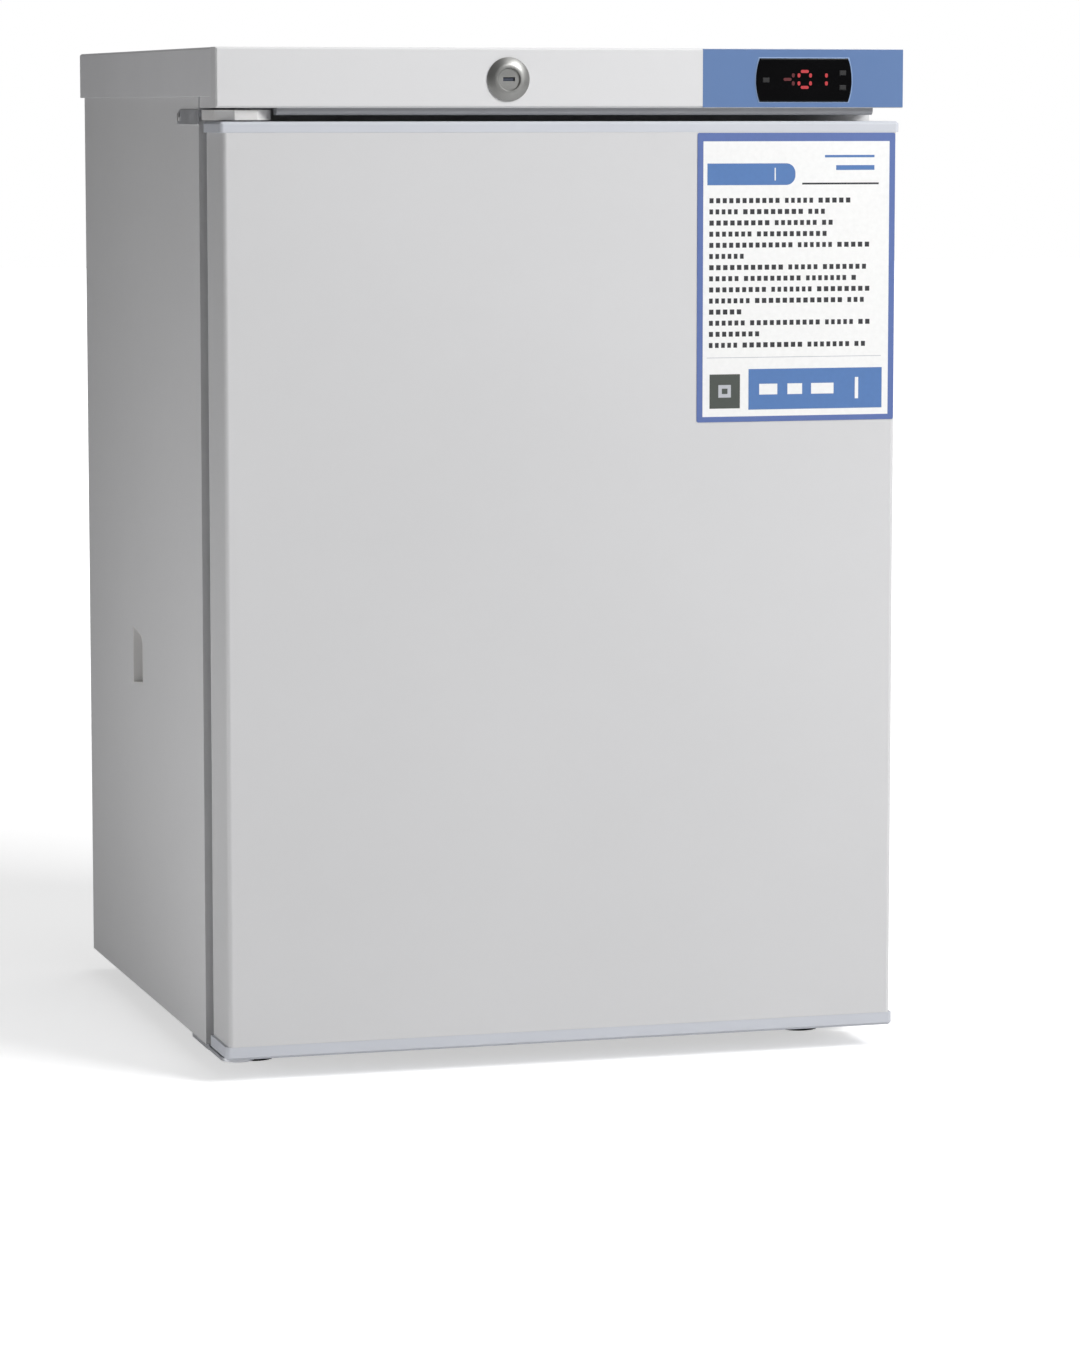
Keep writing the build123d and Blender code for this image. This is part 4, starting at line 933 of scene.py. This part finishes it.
@dataclass
class DoorCard:
    """Printed information card on the door, with plain bars in place of words."""

    left: float = 113.5
    top: float = 780.4
    width: float = 174.5
    height: float = 240.5
    front: float = -300.0
    thickness: float = 0.35
    side_margin: float = 5.1
    top_margin: float = 7.0
    bottom_margin: float = 4.5
    row_ends: tuple[float, ...] = (
        138.0, 118.0, 127.0, 118.0, 156.0, 44.0, 156.0, 143.0, 157.0, 155.0, 46.0, 155.0, 58.0, 156.0,
    )
    row_start: float = 10.5
    first_row: float = 54.0
    row_pitch: float = 9.25
    mark_widths: tuple[float, ...] = (3.6, 3.2, 3.9, 3.4)
    mark_height: float = 4.2
    mark_gap: float = 2.2
    word_gap: float = 2.6
    words: tuple[int, ...] = (11, 5, 9, 7, 13, 6)
    footer_marks: tuple[tuple[Span, float], ...] = (
        ((55.0, 71.0), 4.5), ((80.0, 93.0), 4.5), ((101.0, 121.0), 4.5), ((140.0, 143.0), 9.0),
    )

    def patch(self, name: str, x: Span, down: Span, layer: int, finish: Finish) -> Workpiece:
        """Lays one printed patch on the card.

        Args:
            name: The piece's name.
            x: Its ends measured from the card's left edge.
            down: Its ends measured down from the card's top.
            layer: How many layers it lies over the card's base.
            finish: Its finish.

        Returns:
            The patch.
        """
        base = self.front - self.thickness
        low = (self.left + x[0], base - 0.04 * layer, self.top - down[1])
        high = (self.left + x[1], base + 0.1 - 0.04 * layer, self.top - down[0])
        return Workpiece.block(name, low, high).done("door", finish)

    def rows(self) -> None:
        """Lays the rows of plain marks, grouped as words are."""
        made: list[Workpiece] = []
        base = self.front - self.thickness
        for row, end in enumerate(self.row_ends):
            down = self.first_row + row * self.row_pitch
            place = self.row_start
            turn = row
            while True:
                width = self.mark_widths[turn % len(self.mark_widths)]
                pitch = width + self.mark_gap
                count = min(self.words[turn % len(self.words)], int((end - place) / pitch))
                if count < 1:
                    break
                low = (self.left + place, base - 0.06, self.top - down - self.mark_height)
                high = (self.left + place + width, base + 0.04, self.top - down)
                group = Workpiece.block(f"marks_{row}_{turn}", low, high)
                if count > 1:
                    group.repeated(count, (pitch, 0, 0))
                made.append(group)
                place += count * pitch + self.word_gap
                turn += 1
        Workpiece.merged("card_rows", made).done("door", CARD_INK)

    def build(self) -> None:
        """Makes the card with its frame, bars, rows and blocks."""
        low = (self.left, self.front - self.thickness, self.top - self.height)
        card = Workpiece.block("card_frame", low, (self.left + self.width, self.front, self.top))
        card.bevel(lambda edge: spans(edge, Along.Y, 0.01), 1.5, 4)
        card.done("door", CARD_FRAME)
        right = self.width - self.side_margin
        down = (self.top_margin, self.height - self.bottom_margin)
        self.patch("card_field", (self.side_margin, right), down, 1, CARD_WHITE)
        bar = self.patch("card_header", (8.6, 86.0), (25.3, 43.3), 2, CARD_BLUE)
        right_end = (self.left + 80.0) * MM
        bar.bevel(lambda edge: edge.verts[0].co.x > right_end and spans(edge, Along.Y, 0.01), 8.0, 8)
        self.patch("card_header_tick", (67.6, 68.6), (29.0, 39.5), 3, CARD_WHITE)
        self.patch("card_mark_wide", (112.0, 156.0), (18.5, 20.5), 2, CARD_BLUE)
        self.patch("card_mark_low", (122.0, 156.0), (27.0, 31.0), 2, CARD_BLUE)
        self.patch("card_mark_thin", (92.0, 160.0), (41.5, 43.0), 2, CARD_INK)
        self.rows()
        self.patch("card_rule", (8.6, 163.0), (186.5, 187.0), 2, CARD_LINE)
        self.patch("card_square", (11.2, 38.0), (200.6, 229.2), 2, CARD_OLIVE)
        self.patch("card_square_inner", (19.0, 30.0), (209.5, 220.0), 3, CARD_LINE)
        self.patch("card_square_core", (22.0, 27.0), (212.5, 217.0), 4, CARD_OLIVE)
        self.patch("card_footer", (45.5, 164.0), (196.5, 230.5), 2, CARD_BLUE)
        middle = 213.5
        for number, (x, half) in enumerate(self.footer_marks):
            down = (middle - half, middle + half)
            self.patch(f"card_footer_mark_{number}", x, down, 3, CARD_WHITE)


@dataclass
class Door:
    """Insulated door with its caps, seal, grip and bushes."""

    seal_width: float = 20.0
    seal_depths: tuple[tuple[float, float, float], ...] = (
        (20.0, -240.0, -236.2), (10.0, -236.2, -235.0), (13.0, -235.0, -233.4), (9.0, -233.4, -232.2),
        (13.0, -232.2, -230.6), (9.0, -230.6, -229.8), (15.0, -229.8, -224.3),
    )

    def seal(self) -> None:
        """Makes the seal as a foot, two folds and a head."""
        low, high = low_high("door_gasket")
        made = []
        for number, (width, start, end) in enumerate(self.seal_depths):
            inset = (self.seal_width - width) / 2
            corner = (low.x + inset, start, low.z + inset)
            ring = Workpiece.block(f"seal_{number}", corner, (high.x - inset, end, high.z - inset))
            with ring.editing("FACE", lambda face: abs(face.normal.y) > 0.9):
                bpy.ops.mesh.inset(thickness=width * MM, use_individual=True)
                bpy.ops.mesh.bridge_edge_loops()
            ring.rounded(0.5 if width < 14 else 0.8, 2)
            made.append(ring)
        # The seal's finish is darkened past its own grey to paint the shade in the door gap.
        Workpiece.merged("door_seal", made).done("door", SHADED_SEAL_RUBBER, ["door_gasket"])

    def build(self) -> None:
        """Makes the door's pieces from the outside in."""
        soft_copy("door_skin", "door", DOOR_ENAMEL, 0.15, "door_sheet")
        soft_copy("door_top_cap", "door", CAP_PLASTIC, 0.3, "top_cap_moulding")
        soft_copy("door_bottom_cap", "door", CAP_PLASTIC, 0.3, "bottom_cap_moulding")
        soft_copy("door_liner", "door", LINER_PLASTIC, 1.0, "door_inner_liner")
        soft_copy("door_grip", "door", GREY_PLASTIC, 0.3, "finger_cup")
        soft_copy("hinge_bushes", "door", LIGHT_PLASTIC, 0.2, "bush_pair")
        dress_node("door_foam", FOAM)
        self.seal()


@dataclass
class Hinges:
    """Brackets, pins and the light cover over the upper hinge."""

    def build(self) -> None:
        """Makes the hinge pieces."""
        soft_copy("hinge_bracket_top", "cabinet", HINGE_ZINC, 0.3, "upper_bracket")
        soft_copy("hinge_bracket_bottom", "cabinet", HINGE_ZINC, 0.3, "lower_bracket")
        soft_copy("hinge_pins", "cabinet", ZINC, 0.3, "pin_pair")
        soft_copy("hinge_cover", "cabinet", LIGHT_PLASTIC, 0.5, "hinge_cap")


@dataclass
class Cabinet:
    """Outer sheets, frame, foam and the probe port."""

    flange_screws: int = 5
    flange_first: float = 285.0
    flange_last: float = 40.0
    flange_inset: float = 8.0

    def back_screws(self) -> None:
        """Puts a row of screws on each back flange."""
        high = low_high("side_panel_right")[1]
        step = (high.z - self.flange_last - self.flange_first) / (self.flange_screws - 1)
        x = high.x - self.flange_inset
        heads = screw_head("flange_screws", (x, high.y, self.flange_first), Along.Y, 1, 3.4)
        moves = [(0, 0, step * i) for i in range(1, self.flange_screws)]
        moves += [(-2 * x, 0, step * i) for i in range(self.flange_screws)]
        heads.copies(moves)
        heads.done("cabinet", ZINC)

    def port(self) -> None:
        """Makes the port's cup and its plug."""
        soft_copy("port_cup", "cabinet", LIGHT_PLASTIC, 0.4, "port_recess")
        low, high = low_high("port_plug")
        centre = (low.x, (low.y + high.y) / 2, (low.z + high.z) / 2)
        stem = 8.9
        profile = [
            (0, 1.2), (5.0, 1.2), (5.6, 0.2), (9.0, 0), (10.6, 0.8), (11.0, 2.0), (11.0, 5.0),
            (stem, 5.0), (stem, high.x - low.x - 1), (stem - 1, high.x - low.x), (0, high.x - low.x),
        ]
        plug = Workpiece.turned("port_stopper", centre, Along.X, profile, 40)
        plug.done("cabinet", BLACK_RUBBER, ["port_plug"])

    def build(self) -> None:
        """Makes and dresses the outer sheets."""
        soft_copy("side_panel_left", "cabinet", WHITE_ENAMEL, 0.12, "left_sheet")
        soft_copy("side_panel_right", "cabinet", WHITE_ENAMEL, 0.12, "right_sheet")
        soft_copy("front_frame", "cabinet", WHITE_ENAMEL, 0.2, "front_rim")
        for sheet in ("top_plate", "back_panel", "base_pan", "bay_panel"):
            dress_node(sheet, GALVANISED)
        dress_node("cabinet_foam", FOAM)
        soft_copy("fasteners", "cabinet", ZINC, 0.3, "heads_and_nuts")
        self.port()
        self.back_screws()


@dataclass
class Cavity:
    """Inner liner with its refrigerated shelves."""

    levels: tuple[float, ...] = (340.0, 475.0, 610.0)
    front: float = -179.0
    back: float = 170.0
    half: float = 180.0
    loops: int = 3
    radius: float = 4.0
    bend: float = 12.0
    wire_radius: float = 1.5
    wire_half: float = 227.7
    wire_count: int = 12
    wire_rise: float = 5.8
    riser_y: float = 192.0
    wall_y: float = 199.9

    def shelf(self, number: int, level: float) -> None:
        """Makes one shelf: its tube and its cross wires.

        Args:
            number: Number of the shelf from the bottom.
            level: Height of the tube's middle.
        """
        passes = 2 * self.loops
        points: list[Point] = []
        for i in range(passes):
            x = -self.half + 2 * self.half * i / (passes - 1)
            ends = (self.back, self.front) if i % 2 == 0 else (self.front, self.back)
            points += [(x, ends[0], level), (x, ends[1], level)]
        tube = Workpiece.tube(f"evaporator_tube_{number}", points, self.radius, self.bend)
        tube.done("cabinet", FROSTED, [f"shelf_coil_{number}"])
        first = self.front + self.bend + self.radius
        last = self.back - self.bend - self.radius
        z = level + self.wire_rise
        ends = [(-self.wire_half, first, z), (self.wire_half, first, z)]
        wires = Workpiece.tube(f"shelf_bars_{number}", ends, self.wire_radius)
        wires.repeated(self.wire_count, (0, (last - first) / (self.wire_count - 1), 0))
        wires.done("cabinet", FROSTED, [f"shelf_wires_{number}"])

    def risers(self) -> None:
        """Makes the tubes that join the shelves at the back."""
        made = []
        for i, (low, high) in enumerate(zip(self.levels, self.levels[1:])):
            x = self.half if i % 2 == 0 else -self.half
            points = [(x, self.back, low), (x, self.riser_y, low)]
            points += [(x, self.riser_y, high), (x, self.back, high)]
            made.append(Workpiece.tube(f"riser_{i}", points, self.radius, self.bend - 2))
        for x, level in ((-self.half, self.levels[0]), (self.half, self.levels[-1])):
            points = [(x, self.back, level), (x, self.wall_y, level)]
            made.append(Workpiece.tube("riser_end", points, self.radius))
        Workpiece.merged("evaporator_joints", made).done("cabinet", FROSTED, ["evaporator_risers"])

    def build(self) -> None:
        """Makes the cavity's pieces."""
        soft_copy("inner_liner", "cabinet", LINER_PLASTIC, 1.0, "cavity_liner")
        soft_copy("air_probe", "cabinet", ZINC, 0.3, "probe_and_clip")
        for number, level in enumerate(self.levels, start=1):
            self.shelf(number, level)
        self.risers()


@dataclass
class Condenser:
    """Wire-on-tube condenser on the back."""

    half: float = 215.0
    y: float = 283.0
    low: float = 300.0
    high: float = 780.0
    loops: int = 4
    radius: float = 2.5
    bend: float = 15.0
    wire_half: float = 189.0
    wire_count: int = 15
    wire_radius: float = 1.0
    away: float = 3.65
    overhang: float = 10.0

    def build(self) -> None:
        """Makes the tube, both layers of wires, the clips and the spacers."""
        passes = 2 * self.loops + 1
        points: list[Point] = []
        for i in range(passes):
            z = self.high + (self.low - self.high) * i / (passes - 1)
            ends = (self.half, -self.half) if i % 2 == 0 else (-self.half, self.half)
            points += [(ends[0], self.y, z), (ends[1], self.y, z)]
        tube = Workpiece.tube("condenser_pipe", points, self.radius, self.bend)
        tube.done("cabinet", WIRE_ENAMEL, ["condenser_tube"])
        pitch = 2 * self.wire_half / (self.wire_count - 1)
        layers = []
        for y in (self.y - self.away, self.y + self.away):
            heights = (self.low - self.overhang, self.high + self.overhang)
            ends = [(-self.wire_half, y, z) for z in heights]
            bar = Workpiece.tube("condenser_bars", ends, self.wire_radius)
            layers.append(bar.repeated(self.wire_count, (pitch, 0, 0)))
        layers[0].joined(layers[1]).done("cabinet", WIRE_ENAMEL, ["condenser_wires"])
        soft_copy("condenser_clips", "cabinet", BLACK_ENAMEL, 0.3, "clip_set")
        soft_copy("wall_spacers", "cabinet", BLACK_PLASTIC, 0.6, "spacer_pair")


@dataclass
class MachineBay:
    """Compressor with its tubes, drier, tray and mains inlet."""

    condenser: Condenser
    centre: tuple[float, float] = (60.0, 163.5)
    seam: float = 110.5
    top: float = 177.5
    length: float = 165.0
    width: float = 125.0
    corner: float = 55.0
    dome_round: float = 32.0
    line_x: float = 233.0
    line_bend: float = 12.0
    suction_radius: float = 4.0
    capillary_radius: float = 1.5
    ceiling: float = 225.0

    def compressor(self) -> None:
        """Makes the compressor's domed upper shell, lower shell, mounts and ribbed cover."""
        x, y = self.centre
        half = (self.length / 2, self.width / 2)
        low = (x - half[0], y - half[1], self.seam)
        dome = Workpiece.block("compressor_dome", low, (x + half[0], y + half[1], self.top))
        dome.bevel(lambda edge: spans(edge, Along.Z, 10), self.corner, 10)
        dome.bevel(lambda edge: at_height(edge, self.top), self.dome_round, 8)
        dome.smooth(40).done("cabinet", BLACK_ENAMEL, ["compressor_upper_shell"])
        soft_copy("compressor_lower_shell", "cabinet", BLACK_ENAMEL, 0.8, "compressor_pot")
        soft_copy("compressor_grommets", "cabinet", BLACK_RUBBER, 1.2, "rubber_mounts")
        soft_copy("terminal_cover", "cabinet", BLACK_PLASTIC, 1.5, "relay_cover")
        low, high = low_high("terminal_cover")
        rib = Workpiece.block(
            "relay_cover_ribs", (high.x - 5, low.y + 9, low.z + 8), (high.x + 1.2, low.y + 11, high.z - 8)
        )
        rib.rounded(0.5)
        rib.repeated(6, (0, (high.y - low.y - 20) / 5, 0))
        rib.done("cabinet", BLACK_PLASTIC)

    def lines(self) -> None:
        """Makes the copper tubes and the drier."""
        x, y = self.centre
        c = self.condenser
        left = x - self.length / 2
        suction = [(left + 2, y, 128.5), (left - 34, y, 128.5), (left - 34, y, self.ceiling)]
        discharge = [
            (82.5, 224.0, 68.5), (82.5, 246.0, 68.5), (self.line_x, 246.0, 68.5), (self.line_x, c.y, 68.5),
            (self.line_x, c.y, c.high), (c.half, c.y, c.high),
        ]
        low, high = low_high("filter_drier")
        drier_x, drier_y = (low.x + high.x) / 2, (low.y + high.y) / 2
        turn = high.z + 2 * self.line_bend
        liquid = [
            (-c.half, c.y, c.low), (drier_x, c.y, c.low), (drier_x, c.y, turn), (drier_x, drier_y, turn),
            (drier_x, drier_y, high.z - 6),
        ]
        across = drier_x + 48.0
        capillary = [
            (drier_x, drier_y, low.z + 6), (drier_x, drier_y, low.z - 18), (across, drier_y, low.z - 18),
            (across, drier_y, self.ceiling),
        ]
        made = [
            Workpiece.tube("suction", suction, self.suction_radius, self.line_bend - 1),
            Workpiece.tube("discharge", discharge, c.radius, self.line_bend - 3.5),
            Workpiece.tube("liquid", liquid, c.radius, self.line_bend - 3.5),
            Workpiece.tube("capillary", capillary, self.capillary_radius, self.line_bend - 3.5),
        ]
        Workpiece.merged("copper_lines", made).done("cabinet", COPPER, ["refrigerant_tubes"])
        profile = [
            (0, 0), (3.6, 0), (4.0, 1.0), (4.2, 4.0), (10.2, 13.0), (11.0, 15.0), (11.0, 26.0), (10.5, 27.0),
            (10.5, 28.5), (11.0, 29.5), (11.0, 75.0), (10.2, 77.0), (4.2, 86.0), (4.0, 89.0), (3.6, 90.0),
            (0, 90.0),
        ]
        drier = Workpiece.turned("drier_can", (drier_x, drier_y, low.z), Along.Z, profile, 36)
        drier.done("cabinet", COPPER, ["filter_drier"])

    def build(self) -> None:
        """Makes the bay's pieces."""
        self.compressor()
        self.lines()
        soft_copy("compressor_tray", "cabinet", GALVANISED, 0.3, "bay_tray")
        soft_copy("power_inlet", "cabinet", BLACK_PLASTIC, 0.3, "inlet_socket")


@dataclass
class Foot:
    """One levelling foot: round pad, eight-sided neck and threaded stud."""

    name: str
    x: float
    y: float
    radius: float = 18.0
    neck_half: float = 8.5
    thread: int = 9

    def build(self) -> None:
        """Makes the pad and the neck as one piece, and the stud as its own piece."""
        rim = self.radius
        profile = [
            (0, 0), (rim - 0.8, 0), (rim, 0.8), (rim, 3.2), (rim - 1.0, 4.4), (rim - 2.4, 5.0), (9.5, 5.2),
            (0, 5.2),
        ]
        pad = Workpiece.turned(f"{self.name}_pad", (self.x, self.y, 0.0), Along.Z, profile, 40)
        low = (self.x - self.neck_half, self.y - self.neck_half, 5.0)
        high = (self.x + self.neck_half, self.y + self.neck_half, 10.0)
        neck = Workpiece.block(f"{self.name}_neck", low, high)
        neck.bevel(lambda edge: spans(edge, Along.Z, 1), 4.0, 1)
        neck.rounded(0.4)
        stud = [(0, 9.5), (4.0, 9.5)]
        for i in range(self.thread):
            z = 11.0 + i * 2.4
            stud += [(4.0, z), (3.5, z + 0.6), (4.0, z + 1.2)]
        stud += [(4.0, 33.2), (3.2, 34.0), (0, 34.0)]
        thread = Workpiece.turned(f"{self.name}_stud", (self.x, self.y, 0.0), Along.Z, stud, 24)
        body = f"{self.name}_foot"
        thread.done(body, ZINC)
        pad.joined(neck)
        pad.done(body, BLACK_PLASTIC, [f"foot_{self.name}"])


@dataclass
class Studio:
    """Pale floor, soft lamps and the camera at the photograph's angle."""

    camera_place: Point = (-1.14659, -4.16498, 0.80133)
    yaw: float = 0.2830
    pitch: float = 0.1171
    lens: float = 128.82
    fill: float = 0.155
    key_power: float = 150.0

    def camera(self) -> None:
        """Sets the camera."""
        data = bpy.data.cameras.new("view")
        data.lens = self.lens
        data.sensor_width = 36.0
        data.clip_end = 60.0
        camera = bpy.data.objects.new("view", data)
        camera.location = self.camera_place
        camera.rotation_euler = (math.pi / 2 - self.pitch, 0.0, -self.yaw)
        bpy.context.scene.collection.objects.link(camera)
        bpy.context.scene.camera = camera

    def lamp(self, name: str, place: Point, aim: Point, size: float, power: float) -> None:
        """Adds a square soft lamp.

        Args:
            name: The lamp's name.
            place: Where it stands, in metres.
            aim: The point that it looks at.
            size: Length of its side.
            power: Its power in watts.
        """
        data = bpy.data.lights.new(name, "AREA")
        data.size = size
        data.energy = power
        lamp = bpy.data.objects.new(name, data)
        lamp.location = place
        lamp.visible_camera = False
        lamp.rotation_euler = (Vector(aim) - Vector(place)).to_track_quat("-Z", "Y").to_euler()
        bpy.context.scene.collection.objects.link(lamp)

    def surroundings(self) -> None:
        """Makes the world plain white to look at and dimmer as a light."""
        world = bpy.data.worlds.new("studio")
        world.use_nodes = True
        bpy.context.scene.world = world
        tree = world.node_tree
        back = tree.nodes["Background"]
        back.inputs["Color"].default_value = (1.0, 1.0, 1.0, 1.0)
        path = tree.nodes.new("ShaderNodeLightPath")
        strength = tree.nodes.new("ShaderNodeMapRange")
        tree.links.new(path.outputs["Is Camera Ray"], strength.inputs["Value"])
        strength.inputs["To Min"].default_value = self.fill
        strength.inputs["To Max"].default_value = 1.0
        tree.links.new(strength.outputs["Result"], back.inputs["Strength"])

    def floor(self) -> None:
        """Lays the pale floor, which looks white but keeps the shadow."""
        bpy.ops.object.select_all(action="DESELECT")
        bpy.ops.mesh.primitive_plane_add(size=40.0, location=(0.0, 0.0, 0.0))
        floor = bpy.context.active_object
        floor.name = "floor"
        shader = Shader("pale_floor")
        mottle = shader.noise(0.8, 3.0)
        shader.set("Base Color", shader.mix(mottle, (0.80, 0.80, 0.80), (0.76, 0.76, 0.77)))
        shader.set("Roughness", 0.9)
        shader.set("Emission Color", (1.0, 1.0, 1.0))
        seen = shader.node("ShaderNodeLightPath", {}, {}, "Is Camera Ray")
        here = shader.node("ShaderNodeTexCoord", {}, {}, "Object")
        away = shader.node("ShaderNodeVectorMath", {"operation": "LENGTH"}, {0: here}, "Value")
        shader.set("Emission Strength", seen * (0.55 + 0.6 * away.over(2.4, 3.2)))
        floor.data.materials.append(shader.material)

    def build(self) -> None:
        """Makes the whole setting."""
        bpy.context.scene.view_settings.view_transform = "Standard"
        self.camera()
        self.surroundings()
        self.floor()
        self.lamp("key", (2.0, -2.6, 2.8), (0.0, -0.3, 0.5), 1.8, self.key_power)
        self.lamp("low_left", (-1.2, -0.3, 0.2), (0.0, -0.1, 0.2), 0.36, 2.6)
        self.lamp("top", (0.5, 0.4, 3.2), (0.0, 0.0, 0.8), 2.0, 22.0)
        LOG.info("studio ready")


def main() -> None:
    """Builds every sub-assembly in order."""
    logging.basicConfig(level=logging.INFO, format="%(message)s")
    Studio().build()
    condenser = Condenser()
    feet = [
        Foot("front_left", -244.5, -190.0), Foot("front_right", 244.5, -190.0),
        Foot("back_left", -244.5, 235.0), Foot("back_right", 244.5, 235.0),
    ]
    parts = [
        Lid(), ControlPanel(), LockCylinder(), Door(), DoorCard(), Hinges(), Cabinet(), Cavity(), condenser,
        MachineBay(condenser), *feet,
    ]
    for part in parts:
        LOG.info("building %s", type(part).__name__)
        part.build()


if __name__ == "__main__":
    main()
